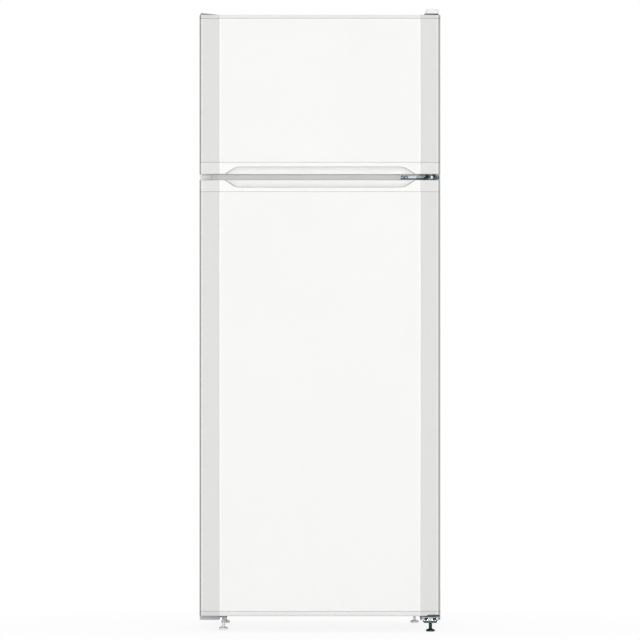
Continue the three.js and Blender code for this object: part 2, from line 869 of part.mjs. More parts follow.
place("top_hinge_bracket", topHingeBracket(), zincSteel);
place("top_hinge_cap", topHingeCap(), whitePlastic);
place("top_hole_cover", topHoleCover(), greyPlastic);
place("middle_hinge_bracket", middleHingeBracket(), zincSteel);
place("middle_hinge_screw_left", screwHead(middlePlateStart + screwEndGap), darkSteel);
place("middle_hinge_screw_right", screwHead(middlePlateStart + screwEndGap + screwPitch), darkSteel);
place("gap_cover_plug", gapCoverPlug(), greyPlastic);
place("bottom_hinge_bracket", bottomHingeBracket(), zincSteel);
place("foot_front_right", foot(hingeX, hingeY, bottomPlateLow - 2 * fit), darkSteel);

// ---------------------------------------------------------------- doors

// Half of a door's plan outline, from the middle of the front round to the back.
function doorEdge(inset) {
  const side = halfWidth - inset;
  const face = doorFront + inset;
  const shoulder = face + stripSetback;
  const radius = doorEdgeRadius;
  const points = [[creaseX, face]];
  for (let i = 0; i <= 3; i++) {
    const angle = -Math.PI / 2 + (i * Math.PI) / 6;
    points.push([
      side - radius + radius * Math.cos(angle),
      shoulder + radius + radius * Math.sin(angle),
    ]);
  }
  return points;
}

function bothSides(points) {
  return [...points.map(([x, y]) => [-x, y]).reverse(), ...points];
}

// Folded steel skin: front, bevelled strips, sides and a return at the back.
function doorPanel([z0, z1]) {
  const outer = [...doorEdge(0), [halfWidth, doorBack], [halfWidth - skinReturn, doorBack]];
  const innerBack = doorBack - sheet;
  const inner = [...doorEdge(sheet), [halfWidth - sheet, innerBack], [halfWidth - skinReturn, innerBack]];
  const loop = [...bothSides(outer), ...bothSides(inner).reverse()];
  return prismZ(outline(loop), [z0, z1]);
}

function doorSlab(inset, back, range) {
  const edge = [...doorEdge(inset), [halfWidth - inset, back]];
  return prismZ(outline(bothSides(edge)), range);
}

// End cap: a flush part and a plug that stands inside the skin. Up is +1 where the plug points up.
function endCap(outerZ, height, up) {
  const seam = outerZ + up * height;
  const plugEnd = seam + up * capPlug;
  const inset = sheet + fit;
  const range = (a, b) => [Math.min(a, b), Math.max(a, b)];
  return join(
    doorSlab(0, doorBack, range(outerZ, seam)),
    doorSlab(inset, doorBack - inset, range(seam - up * 0.5, plugEnd)),
  );
}

function pinHole(outerZ, up) {
  const end = outerZ + up * (pinReach + pinEndGap);
  const start = outerZ - up;
  const range = [Math.min(start, end), Math.max(start, end)];
  return upright(pinRadius + runningGap, range, hingeX, hingeY);
}

// How full the scoop is at a distance from the middle: it rises straight from its mouth's end and
// bends over into its flat length, where it is 1.
function scoopShare(x) {
  const short = (scoopMouth / 2 - Math.abs(x)) / scoopEnd;
  const straight = Math.max(0.05, short * scoopSteepness);
  const bendStart = 2 - scoopSteepness;
  if (straight <= bendStart) return straight;
  if (straight >= scoopSteepness) return 1;
  const past = straight - bendStart;
  return straight - (past * past) / (2 * (scoopSteepness - bendStart));
}

// Cutter for a grip scoop. Its section is drawn out along X and shrinks towards both ends.
function scoopCutter(edgeZ, up) {
  const over = 3;
  const section = new THREE.Shape();
  section.moveTo(-over, -over);
  section.lineTo(scoopDepth, -over);
  section.quadraticCurveTo(scoopDepth * scoopFullness, scoopHeight * scoopFullness, -over, scoopHeight);
  const steps = 25;
  const geometry = new THREE.ExtrudeGeometry(section, {
    depth: 1,
    steps,
    bevelEnabled: false,
    curveSegments: 5,
  });
  const position = geometry.attributes.position;
  for (let i = 0; i < position.count; i++) {
    const y = position.getX(i);
    const z = position.getY(i);
    const x = scoopStation(position.getZ(i));
    const share = scoopShare(x);
    position.setXYZ(i, x, doorFront + (y > 0 ? y * share : y), z > 0 ? z * share : z);
  }
  const cutter = up > 0 ? solid(geometry) : solid(geometry).mirror([0, 0, 1]);
  return cutter.translate([0, 0, edgeZ]);
}

// Stations along the scoop: close together at the sloping ends, far apart in the middle.
function scoopStation(t) {
  const bend = 0.4;
  if (t < bend) return -scoopMouth / 2 + (t / bend) * scoopEnd;
  if (t > 1 - bend) return scoopMouth / 2 - ((1 - t) / bend) * scoopEnd;
  return -scoopFlat / 2 + ((t - bend) / (1 - 2 * bend)) * scoopFlat;
}

function fingerGroove(edgeZ, up) {
  const start = edgeZ - up;
  const end = edgeZ + up * grooveHeight;
  const half = scoopFlat / 2 - grooveEndInset;
  return block(
    [-half, half],
    [doorFront + grooveFront, doorFront + grooveBack],
    [Math.min(start, end), Math.max(start, end)],
  );
}

// The liner's pan and its two dikes, shrunk by a margin. Its back lies in the given plane.
function doorLinerForm(margin, panHalf, [z0, z1], back) {
  const panFace = doorBack + fit + panRise;
  const tip = panFace + dikeReach;
  const edge = [
    [panHalf - dikeWidth + margin, panFace - margin],
    [panHalf - dikeWidth + margin, tip - margin],
    [panHalf - dikeTaper - margin, tip - margin],
    [panHalf - margin, panFace - margin],
    [panHalf - margin, back],
  ];
  return prismZ(outline(bothSides(edge)), [z0 + margin, z1 - margin]);
}

function rackPegs(panHalf, rackBottom, reach) {
  const inner = panHalf - dikeWidth;
  const face = doorBack + fit + panRise;
  const peg = block(
    [inner - rackPeg, inner + 1],
    [face + pegSetback, face + Math.min(reach, dikeReach) - pegEndGap],
    [rackBottom - 7, rackBottom - fit],
  );
  return [peg, mirrored(peg)];
}

function doorLiner(panHalf, panRange, doorRange, racks) {
  const side = halfWidth - skinReturn + 4;
  const start = doorBack + fit;
  const flange = block(
    [-side, side],
    [start, start + linerWall],
    [doorRange[0] + gasketEndInset - 4, doorRange[1] - gasketEndInset + 4],
  );
  const shell = cut(
    join(flange, doorLinerForm(0, panHalf, panRange, start)),
    doorLinerForm(linerWall, panHalf, panRange, start - 1),
  );
  const pegs = racks.flatMap(([bottom, reach]) => rackPegs(panHalf, bottom, reach));
  return join(shell, ...pegs);
}

function doorGasket([z0, z1]) {
  const side = halfWidth - gasketSideInset;
  const low = z0 + gasketEndInset;
  const high = z1 - gasketEndInset;
  const ring = roundedRectangle([-side, side], [low, high], 4);
  const inner = side - gasketWidth;
  ring.holes.push(roundedRectangle([-inner, inner], [low + gasketWidth, high - gasketWidth], 2));
  return prismY(ring, [doorBack + 2 * fit + linerWall, cabinetFront - fit], 2);
}

// Open tray that hangs between the dikes; the side facing the compartment is lower.
function doorRack(panHalf, reach, bottom, height) {
  const half = panHalf - dikeWidth - fit;
  const back = doorBack + 2 * fit + panRise;
  const front = back + reach;
  const top = bottom + height;
  const wall = trayWall;
  const insideX = [wall - half, half - wall];
  const inside = roundedRectangle(insideX, [back + wall, front - wall], rackRadius - wall);
  const tray = cut(
    prismZ(roundedRectangle([-half, half], [back, front], rackRadius), [bottom, top]),
    prismZ(inside, [bottom + wall, top + 1]),
  );
  const slope = outline([
    [back + reach * 0.45, top + 1],
    [back + reach * 0.75, top - rackCut],
    [front + 1, top - rackCut],
    [front + 1, top + 1],
  ]);
  return cut(tray, prismX(slope, [-half - 1, half + 1]));
}

// Foam of a door: a slab inside the skin, a fill of the liner's pan, and a throat between them.
function doorFoam(panHalf, panRange, [z0, z1]) {
  const inset = sheet + fit;
  const clear = linerWall + fit;
  const slabBack = doorBack - inset;
  const throat = block(
    [clear - panHalf, panHalf - clear],
    [slabBack - 1, doorBack + fit + 1],
    [Math.max(z0, panRange[0] + clear), Math.min(z1, panRange[1] - clear)],
  );
  return join(
    doorSlab(inset, slabBack, [z0, z1]),
    doorLinerForm(clear, panHalf, panRange, doorBack + fit),
    throat,
  );
}

const fridgePanHalf = fridgeHalf - fridgePanSideInset;
const fridgePan = [fridgeFloor + panInset, fridgeCeiling - panInset];
const freezerPanHalf = freezerHalf - freezerPanSideInset;
const freezerPan = [freezerFloor + panInset, freezerCeiling - panInset];

function rackBottom(pan, share) {
  return pan[0] + share * (pan[1] - pan[0]);
}

function fridgeDoor() {
  const group = new THREE.Group();
  const range = [fridgeDoorBottom, fridgeDoorTop];
  const bottoms = fridgeRackPlaces.map((share) => rackBottom(fridgePan, share));
  const lowSeam = fridgeDoorBottom + bottomCapHeight;
  const highSeam = fridgeDoorTop - gripCapHeight;
  const upperCap = cut(
    endCap(fridgeDoorTop, gripCapHeight, -1),
    scoopCutter(fridgeDoorTop, -1),
    fingerGroove(fridgeDoorTop, -1),
    pinHole(fridgeDoorTop, -1),
  );
  const bottomCap = cut(endCap(fridgeDoorBottom, bottomCapHeight, 1), pinHole(fridgeDoorBottom, 1));
  place("fridge_door_panel", doorPanel([lowSeam + fit, highSeam - fit]), whiteSteel, group);
  place("fridge_door_grip_cap", upperCap, capPlastic, group);
  place("fridge_door_bottom_cap", bottomCap, capPlastic, group);
  const foamRange = [lowSeam + capPlug + fit, highSeam - capPlug - fit];
  place("fridge_door_foam", doorFoam(fridgePanHalf, fridgePan, foamRange), foam, group);
  const racks = bottoms.map((bottom) => [bottom, rackDepth]);
  place("fridge_door_liner", doorLiner(fridgePanHalf, fridgePan, range, racks), whitePlastic, group);
  place("fridge_door_gasket", doorGasket(range), rubber, group);
  const names = ["bottle_rack", "middle_rack", "upper_rack"];
  const heights = [bottleRackHeight, rackHeight, rackHeight];
  names.forEach((name, i) => {
    place(name, doorRack(fridgePanHalf, rackDepth, bottoms[i], heights[i]), clearPlastic, group);
  });
  return group;
}

function freezerDoor() {
  const group = new THREE.Group();
  const range = [freezerDoorBottom, freezerDoorTop];
  const bottom = rackBottom(freezerPan, freezerRackPlace);
  const lowSeam = freezerDoorBottom + gripCapHeight;
  const highSeam = freezerDoorTop - topCapHeight;
  const gripCap = cut(
    endCap(freezerDoorBottom, gripCapHeight, 1),
    scoopCutter(freezerDoorBottom, 1),
    fingerGroove(freezerDoorBottom, 1),
    pinHole(freezerDoorBottom, 1),
  );
  const topCap = cut(endCap(freezerDoorTop, topCapHeight, -1), pinHole(freezerDoorTop, -1));
  place("freezer_door_panel", doorPanel([lowSeam + fit, highSeam - fit]), whiteSteel, group);
  place("freezer_door_grip_cap", gripCap, capPlastic, group);
  place("freezer_door_top_cap", topCap, capPlastic, group);
  const foamRange = [lowSeam + capPlug + fit, highSeam - capPlug - fit];
  place("freezer_door_foam", doorFoam(freezerPanHalf, freezerPan, foamRange), foam, group);
  const racks = [[bottom, freezerRackDepth]];
  place("freezer_door_liner", doorLiner(freezerPanHalf, freezerPan, range, racks), whitePlastic, group);
  place("freezer_door_gasket", doorGasket(range), rubber, group);
  const rack = doorRack(freezerPanHalf, freezerRackDepth, bottom, rackHeight);
  place("freezer_door_rack", rack, clearPlastic, group);
  return group;
}

root.add(fridgeDoor());
root.add(freezerDoor());

// ---------------------------------------------------------------- shelves and drawers

// Glass plate with a moulded trim along its front edge.
function glassShelf(height, rear) {
  const half = fridgeHalf - shelfSideGap;
  const low = height + fit;
  return block([-half, half], [shelfFront, rear - shelfRearGap], [low, low + glass]);
}

function trimmedShelf(height, rear) {
  const half = fridgeHalf - shelfSideGap;
  const low = height + fit;
  const trimBack = shelfFront + ledgeSetback - fit;
  const front = roundedRectangle(
    [trimBack - trimDepth, trimBack],
    [low + glass - trimHeight + 2, low + glass + 2],
    2,
  );
  const trim = prismX(front, [-half, half], 2);
  return join(glassShelf(height, rear), trim);
}

["lower", "middle", "upper"].forEach((name, i) => {
  const height = fridgeLedgeHeight(i * shelfEvery);
  place("glass_shelf_" + name, trimmedShelf(height, fridgeRear), clearGlass);
});
place("crisper_cover", glassShelf(crisperCoverHeight, stepY), clearGlass);

// Drawer with drafted sides and a turned lip to pull it by.
function crisper(side) {
  const low = fridgeFloor + fit;
  const high = low + crisperHeight;
  const inner = crisperGap / 2;
  const outer = fridgeHalf - shelfLedge - crisperGap;
  const front = shelfFront;
  const back = stepY - stepRadius - fit;
  const tray = (grow, bottom, top) => {
    const plan = roundedRectangle([inner - grow, outer + grow], [front - grow, back + grow], 12);
    const geometry = extrude(plan, top - bottom, 3).translate(0, 0, bottom);
    const position = geometry.attributes.position;
    const middleX = (inner + outer) / 2;
    const middleY = (front + back) / 2;
    for (let i = 0; i < position.count; i++) {
      const share = (high - position.getZ(i)) / crisperHeight;
      const x = position.getX(i);
      const y = position.getY(i);
      position.setX(i, x - Math.sign(x - middleX) * crisperDraft * share);
      position.setY(i, y - Math.sign(y - middleY) * crisperDraft * share * 0.5);
    }
    return solid(geometry);
  };
  const across = [inner + crisperLipInset, outer - crisperLipInset];
  const lip = block(across, [front - 9, front + 1], [high - 4, high]);
  const lipEdge = block(across, [front - 9, front - 6.5], [high - 14, high]);
  const drawer = join(cut(tray(0, low, high), tray(-trayWall, low + trayWall, high + 1)), lip, lipEdge);
  return side > 0 ? drawer : mirrored(drawer);
}

place("crisper_left", crisper(-1), clearPlastic);
place("crisper_right", crisper(1), clearPlastic);

// Slotted shelf of the freezer.
function freezerShelf() {
  const half = freezerHalf - shelfSideGap;
  const low = freezerShelfHeight + fit;
  const back = freezerRear - shelfRearGap;
  const high = low + freezerShelfThickness;
  const plate = prismZ(roundedRectangle([-half, half], [shelfFront, back], 10), [low, high], 3);
  const slots = [];
  for (let i = 0; i < slotCount; i++) {
    const x = -half + ((i + 1) * 2 * half) / (slotCount + 1);
    slots.push(
      block(
        [x - slotWidth / 2, x + slotWidth / 2],
        [shelfFront + slotEndGap, back - slotEndGap],
        [low - 1, high + 1],
      ),
    );
  }
  return cut(plate, ...slots);
}

// Shallow tray for freezing loose food, standing on the freezer shelf.
function freezingTray() {
  const low = freezerShelfHeight + freezerShelfThickness + 2 * fit;
  const x = [-freezerHalf + traySideGap, -freezerHalf + traySideGap + trayWidth];
  const y = [shelfFront + traySetback, freezerRear - shelfRearGap - trayRearGap];
  const radius = 10;
  const inside = roundedRectangle(
    [x[0] + trayWall, x[1] - trayWall],
    [y[0] + trayWall, y[1] - trayWall],
    radius - trayWall,
  );
  const rim = roundedRectangle(
    [x[0] - trayRim, x[1] + trayRim],
    [y[0] - trayRim, y[1] + trayRim],
    radius + trayRim,
  );
  return cut(
    join(
      prismZ(roundedRectangle(x, y, radius), [low, low + trayDepth], 3),
      prismZ(rim, [low + trayDepth - trayWall, low + trayDepth], 3),
    ),
    prismZ(inside, [low + trayWall, low + trayDepth + 1], 3),
  );
}

place("freezer_shelf", freezerShelf(), whitePlastic);
place("freezing_tray", freezingTray(), clearPlastic);

// ---------------------------------------------------------------- light and thermostat

const housingTop = fridgeCeiling - fit;
const housingLow = housingTop - housingHeight;
const housingFront = cabinetFront + housingSetback;
const housingX = [-housingWidth / 2, housingWidth / 2];
const housingY = [housingFront, housingFront + housingDepth];
const knobZ = housingLow + housingHeight / 2;
const windowY = housingFront + housingDepth / 2;

function lightHousing() {
  const wall = housingWall;
  const shell = cut(
    prismZ(roundedRectangle(housingX, housingY, 10), [housingLow, housingTop]),
    prismZ(
      roundedRectangle(
        [housingX[0] + wall, housingX[1] - wall],
        [housingY[0] + wall, housingY[1] - wall],
        8,
      ),
      [housingLow + wall, housingTop + 1],
    ),
  );
  return cut(
    shell,
    block(
      [-lampWindowWidth / 2, lampWindowWidth / 2],
      [windowY - lampWindowDepth / 2, windowY + lampWindowDepth / 2],
      [housingLow - 1, housingLow + wall + 1],
    ),
    lengthways(shaftRadius + runningGap, [housingFront - 1, housingFront + wall + 1], knobOffset, knobZ),
    block(
      [switchOffset - switchWidth / 2 - runningGap, switchOffset + switchWidth / 2 + runningGap],
      [housingFront - 1, housingFront + wall + 1],
      [knobZ - switchWidth / 2 - runningGap, knobZ + switchWidth / 2 + runningGap],
    ),
  );
}

// Clear cover that fills the window and bulges a little below it.
function lampCover() {
  const x = [-lampWindowWidth / 2 + fit, lampWindowWidth / 2 - fit];
  const y = [windowY - lampWindowDepth / 2 + fit, windowY + lampWindowDepth / 2 - fit];
  const low = housingLow - lampCoverDrop;
  const high = housingLow + housingWall;
  const wall = lampCoverWall;
  return cut(
    block(x, y, [low, high]),
    block([x[0] + wall, x[1] - wall], [y[0] + wall, y[1] - wall], [low + wall, high + 1]),
  );
}

// Knob with a finger bar across its face, on a shaft through the housing's front.
function thermostatKnob() {
  const y = housingFront - 2 * fit;
  const half = knobRadius - 1;
  const dial = lengthways(knobRadius, [y - knobDial, y], knobOffset, knobZ, 24);
  const bar = block(
    [knobOffset - knobBarWidth / 2, knobOffset + knobBarWidth / 2],
    [y - knobDial - knobBar, y - knobDial + 1],
    [knobZ - half, knobZ + half],
  );
  const shaft = lengthways(shaftRadius, [y - 1, housingFront + shaftReach], knobOffset, knobZ);
  return join(dial, bar, shaft);
}

// Plunger that the closed door stands in front of.
function doorSwitch() {
  const x = [switchOffset - switchWidth / 2, switchOffset + switchWidth / 2];
  const z = [knobZ - switchWidth / 2, knobZ + switchWidth / 2];
  const tip = doorBack + fit + panRise + switchGap;
  const collar = switchCollar;
  const inside = housingFront + housingWall + 2 * fit;
  const chamfer = switchWidth / 4;
  const side = outline([
    [tip + chamfer, z[0]],
    [inside + switchReach, z[0]],
    [inside + switchReach, z[1]],
    [tip + chamfer, z[1]],
    [tip, z[1] - chamfer],
    [tip, z[0] + chamfer],
  ]);
  return join(
    prismX(side, x),
    block([x[0] - collar, x[1] + collar], [inside, inside + collar], [z[0] - collar, z[1] + collar]),
  );
}

place("light_housing", lightHousing(), whitePlastic);
place("lamp_cover", lampCover(), clearPlastic);
place("thermostat_knob", thermostatKnob(), palePlastic);
place("door_switch", doorSwitch(), whitePlastic);

// ---------------------------------------------------------------- cooling circuit

const compressorY = bayFront + bayDepth / 2;
const compressorTrayHalf = halfWidth - baseRailWidth - 2 * sheet;
const glandX = compressorTrayHalf - glandEndInset;
const glandZ = trayTop + bayPlateUpturn;
const glandHoleRadius = glandRadius + runningGap;

// Plate across the bay's floor, turned up at the back, with a tab that holds the mains gland.
function compressorTray() {
  const low = trayTop - bayPlate;
  const inner = rearFace - bayPlate;
  const section = outline([
    [bayFront + fit, low],
    [rearFace, low],
    [rearFace, trayTop + bayPlateUpturn],
    [inner, trayTop + bayPlateUpturn],
    [inner, trayTop],
    [bayFront + fit, trayTop],
  ]);
  const tabHalf = glandFlangeRadius + 2;
  const tab = roundedRectangle([glandX - tabHalf, glandX + tabHalf], [trayTop + 1, glandZ + tabHalf], 4);
  return cut(
    join(
      prismX(section, [-compressorTrayHalf, compressorTrayHalf]),
      prismY(tab, [inner, rearFace], 2),
    ),
    lengthways(glandHoleRadius, [inner - 1, rearFace + 1], glandX, glandZ),
  );
}

// Bushing snapped into the tab, with a flange on each side of it.
function mainsGland() {
  const inner = rearFace - bayPlate - fit;
  const outer = rearFace + fit;
  const thick = glandFlange;
  return cut(
    join(
      lengthways(glandRadius, [inner - thick, outer + thick], glandX, glandZ),
      lengthways(glandFlangeRadius, [inner - thick, inner], glandX, glandZ),
      lengthways(glandFlangeRadius, [outer, outer + thick], glandX, glandZ),
    ),
    lengthways(glandBore, [inner - thick - 1, outer + thick + 1], glandX, glandZ),
  );
}

// Welded pot on a base plate with four mounts.
function compressor() {
  const low = potLow;
  const r = compressorRadius;
  const h = compressorHeight;
  const profile = [
    [0, 0],
    [r * 0.72, 0],
    [r * 0.93, h * 0.1],
    [r, h * 0.28],
    [r, h * 0.5],
    [r + seamWidth, h * 0.5],
    [r + seamWidth, h * 0.55],
    [r, h * 0.55],
    [r * 0.97, h * 0.75],
    [r * 0.82, h * 0.92],
    [r * 0.5, h],
    [0, h],
  ];
  const points = profile.map(([radius, height]) => new THREE.Vector2(radius, height));
  const pot = new THREE.LatheGeometry(points, 20).rotateX(Math.PI / 2);
  pot.scale(compressorStretch, compressorSquash, 1);
  pot.translate(compressorOffset, compressorY, low);
  const mounts = [];
  for (const side of [-1, 1]) {
    for (const end of [-1, 1]) {
      const x = compressorOffset + side * mountSpreadX;
      const y = compressorY + end * mountSpreadY;
      mounts.push(upright(mountRadius, [trayTop + fit, low + 1], x, y, 12));
    }
  }
  const plateX = mountSpreadX + mountPlateEdge;
  const plateY = mountSpreadY + mountPlateEdge;
  const plate = block(
    [compressorOffset - plateX, compressorOffset + plateX],
    [compressorY - plateY, compressorY + plateY],
    [low, low + mountPlate],
  );
  const stub = crossways(tubeRadius, [stubEnd, compressorOffset - r], compressorY, stubZ, 12);
  return join(solid(pot), plate, stub, ...mounts);
}

const stubEnd = compressorOffset - compressorRadius * compressorStretch - stubLength;
const stubZ = potLow + compressorHeight * 0.4;

function relayCover() {
  const low = potLow + compressorHeight * 0.3;
  const start = compressorOffset + (compressorRadius + seamWidth) * compressorStretch + fit;
  const front = compressorY - relayWidth / 2;
  const face = roundedRectangle([front, front + relayWidth], [low, low + relayHeight], 6);
  return prismX(face, [start, start + relayLength], 2);
}

// Open basin on the warm pot, where the defrost water dries off.
function evaporationTray() {
  const low = potHigh + fit;
  const x = [compressorOffset - basinWidth / 2, compressorOffset + basinWidth / 2];
  const y = [compressorY - basinDepth / 2, compressorY + basinDepth / 2];
  const wall = basinWall;
  const radius = 14;
  const inside = roundedRectangle([x[0] + wall, x[1] - wall], [y[0] + wall, y[1] - wall], radius - wall);
  return cut(
    prismZ(roundedRectangle(x, y, radius), [low, low + basinHeight]),
    prismZ(inside, [low + wall, low + basinHeight + 1]),
  );
}

const passHalf = halfWidth - condenserSideGap;
const condenserBottom = bayTop + condenserRise;
const condenserTop = cabinetTop - condenserTopGap;
const passPitch = (condenserTop - condenserBottom) / (passCount - 1);
const bracketX = halfWidth - bracketInset; // middle of a condenser bracket
const wireSpan = 2 * (bracketX - wireBracketGap);
const outletBend = 14;

// Corners of a half turn in the rear plane, round the end between two passes.
function halfTurn(side, x, z, radius) {
  const corners = [];
  const parts = 5;
  for (let i = 1; i < parts; i++) {
    const angle = Math.PI / 2 - (i * Math.PI) / parts;
    const out = side * radius * Math.cos(angle);
    corners.push(new THREE.Vector3(x + out, tubeY, z + radius * Math.sin(angle)));
  }
  return corners;
}

// Serpentine pipe with wires welded across its passes.
function condenser() {
  const corners = [];
  const radius = passPitch / 2;
  const run = passHalf - radius;
  corners.push(new THREE.Vector3(-passHalf, tubeY, condenserTop));
  for (let i = 0; i < passCount; i++) {
    const z = condenserTop - i * passPitch;
    const side = i % 2 === 0 ? 1 : -1;
    if (i > 0) corners.push(new THREE.Vector3(-side * run, tubeY, z));
    corners.push(new THREE.Vector3(side * run, tubeY, z));
    if (i < passCount - 1) corners.push(...halfTurn(side, side * run, z - radius, radius));
  }
  corners.push(new THREE.Vector3(run + outletBend * 0.7, tubeY, condenserBottom - outletBend * 0.3));
  corners.push(new THREE.Vector3(run + outletBend, tubeY, condenserBottom - outletBend));
  corners.push(new THREE.Vector3(run + outletBend, tubeY, drierTop + fit));
  const wires = [];
  const wireY = tubeY + tubeRadius * 0.866 - 0.3;
  for (let i = 0; i < wireCount; i++) {
    const x = -wireSpan / 2 + (i * wireSpan) / (wireCount - 1) + 0.37;
    wires.push(
      block(
        [x - wireThickness / 2, x + wireThickness / 2],
        [wireY, wireY + wireThickness],
        [condenserBottom - wireTail, condenserTop + wireTail],
      ),
    );
  }
  return join(pipe(corners, tubeRadius), ...wires);
}

const drierTop = condenserBottom - drierDrop;
const drierX = passHalf - passPitch / 2 + outletBend;

function filterDrier() {
  const low = drierTop - drierLength;
  const neck = 2;
  const taper = drierRadius + 1;
  const profile = [
    [0, low],
    [neck, low],
    [drierRadius, low + taper],
    [drierRadius, drierTop - taper],
    [neck, drierTop],
    [0, drierTop],
  ];
  return turned(profile, drierX, tubeY, 14);
}

// Pipe from the compressor up to the top of the condenser.
function dischargeTube() {
  const z = stubZ;
  const bend = riserBend;
  const x = -passHalf - bend;
  const turn = stubEnd - 3 * bend;
  const corners = [
    [stubEnd - fit, compressorY, z],
    [turn, compressorY, z],
    [turn - bend, compressorY + bend, z],
    [turn - bend * 1.5, tubeY - bend, z],
    [turn - bend * 2.2, tubeY, z],
    [turn - bend * 3, tubeY, z],
    [x + bend, tubeY, z],
    [x + bend * 0.3, tubeY, z + bend * 0.3],
    [x, tubeY, z + bend],
    [x, tubeY, condenserTop - bend],
    [x + bend * 0.3, tubeY, condenserTop - bend * 0.3],
    [x + bend * 0.7, tubeY, condenserTop],
    [-passHalf - fit, tubeY, condenserTop],
  ];
  return pipe(corners.map((corner) => new THREE.Vector3(...corner)), tubeRadius);
}

// Upright strip that holds every pass in a notch and keeps the cabinet off the wall.
function condenserBracket(x) {
  const reach = bracketReach;
  const z = [condenserBottom - reach, condenserTop + reach];
  const range = [x - bracketWidth / 2, x + bracketWidth / 2];
  const back = rearFace + condenserSpace;
  const strip = block(range, [rearFace + fit, tubeY + tubeRadius - 1], z);
  const notches = [];
  for (let i = 0; i < passCount; i++) {
    const height = condenserTop - i * passPitch;
    const side = tubeRadius + fit;
    notches.push(
      block([x - bracketWidth, x + bracketWidth], [tubeY - side, back + 1], [height - side, height + side]),
    );
  }
  const spacer = (low) => block(range, [rearFace + fit, back], [low, low + spacerHeight]);
  return cut(join(strip, spacer(z[0] - 2), spacer(z[1] + 2 - spacerHeight)), ...notches);
}

place("compressor_tray", compressorTray(), zincSteel);
place("mains_gland", mainsGland(), darkPlastic);
place("compressor", compressor(), blackSteel);
place("relay_cover", relayCover(), greyPlastic);
place("evaporation_tray", evaporationTray(), palePlastic);
place("condenser", condenser(), blackSteel);
place("filter_drier", filterDrier(), copper);
place("discharge_tube", dischargeTube(), blackSteel);
place("condenser_bracket_left", condenserBracket(-bracketX), greyPlastic);
place("condenser_bracket_right", condenserBracket(bracketX), greyPlastic);

export default root;
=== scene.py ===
import bmesh
import bpy
import math
import random
from mathutils import Matrix, Vector


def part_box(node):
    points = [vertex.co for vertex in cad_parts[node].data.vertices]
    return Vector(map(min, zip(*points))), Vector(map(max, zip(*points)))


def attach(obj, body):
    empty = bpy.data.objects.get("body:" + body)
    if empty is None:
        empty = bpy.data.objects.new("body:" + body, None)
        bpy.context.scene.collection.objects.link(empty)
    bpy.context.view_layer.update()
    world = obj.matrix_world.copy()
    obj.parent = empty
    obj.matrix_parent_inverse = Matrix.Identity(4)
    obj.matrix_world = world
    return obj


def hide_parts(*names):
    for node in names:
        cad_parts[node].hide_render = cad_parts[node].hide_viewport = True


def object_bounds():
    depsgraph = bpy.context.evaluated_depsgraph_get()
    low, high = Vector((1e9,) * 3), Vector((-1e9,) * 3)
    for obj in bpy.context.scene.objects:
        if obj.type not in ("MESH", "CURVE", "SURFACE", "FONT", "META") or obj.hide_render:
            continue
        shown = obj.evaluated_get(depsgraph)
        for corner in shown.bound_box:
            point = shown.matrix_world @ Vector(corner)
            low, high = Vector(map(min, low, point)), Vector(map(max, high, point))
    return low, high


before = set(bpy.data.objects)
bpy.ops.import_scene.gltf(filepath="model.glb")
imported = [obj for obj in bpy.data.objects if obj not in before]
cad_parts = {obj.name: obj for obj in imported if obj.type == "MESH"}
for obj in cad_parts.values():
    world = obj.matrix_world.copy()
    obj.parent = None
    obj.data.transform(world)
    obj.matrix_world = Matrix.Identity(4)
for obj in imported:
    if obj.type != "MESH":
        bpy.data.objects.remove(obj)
cadLow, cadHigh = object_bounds()
mm = 0.001    # sizes of pieces and finishes are in millimetres, and this turns them into metres


# a wire's operator; the swapped one stands for a number on the left, as in 1 - mask
def operator(operation, swapped=False):
    def apply(wire, other):
        return wire.maths(operation, *((other, wire) if swapped else (wire, other)))
    return apply


# shader maths: a wire wraps a socket, and an expression on wires adds its Math nodes
class Wire:
    def __init__(self, tree, socket):
        self.tree = tree
        self.socket = socket

    def maths(self, operation, first, second):
        node = self.tree.nodes.new("ShaderNodeMath")
        node.operation = operation
        for socket, value in zip(node.inputs, (first, second)):
            if isinstance(value, Wire):
                self.tree.links.new(value.socket, socket)
            else:
                socket.default_value = value
        return Wire(self.tree, node.outputs[0])

    __add__, __radd__ = operator("ADD"), operator("ADD", True)
    __sub__, __rsub__ = operator("SUBTRACT"), operator("SUBTRACT", True)
    __mul__, __rmul__ = operator("MULTIPLY"), operator("MULTIPLY", True)
    __gt__, __lt__ = operator("GREATER_THAN"), operator("LESS_THAN")
    atLeast, atMost = operator("MAXIMUM"), operator("MINIMUM")

    def __abs__(self):
        return self.maths("ABSOLUTE", self, 0.0)

    # from a share of 0 to 1 to a value from low to high
    def between(self, low, high):
        return self * (high - low) + low


class Nodes:
    def __init__(self, tree):
        self.tree = tree

    def feed(self, socket, value):
        if isinstance(value, Wire):
            self.tree.links.new(value.socket, socket)
        else:
            socket.default_value = value

    # any node: its type, its settings first, then values or wires for its sockets
    def node(self, kind, settings=None, sockets=None, output=0):
        made = self.tree.nodes.new("ShaderNode" + kind)
        for key, value in (settings or {}).items():
            setattr(made, key, value)
        for key, value in (sockets or {}).items():
            self.feed(made.inputs[key], value)
        return Wire(self.tree, made.outputs[output])

    # 1 for a ray that comes straight from the camera, from gloss or through glass
    def seen(self):
        camera, gloss, glass = (self.node("LightPath", output="Is %s Ray" % ray)
                                for ray in ("Camera", "Glossy", "Transmission"))
        return camera.atLeast(gloss).atLeast(glass)


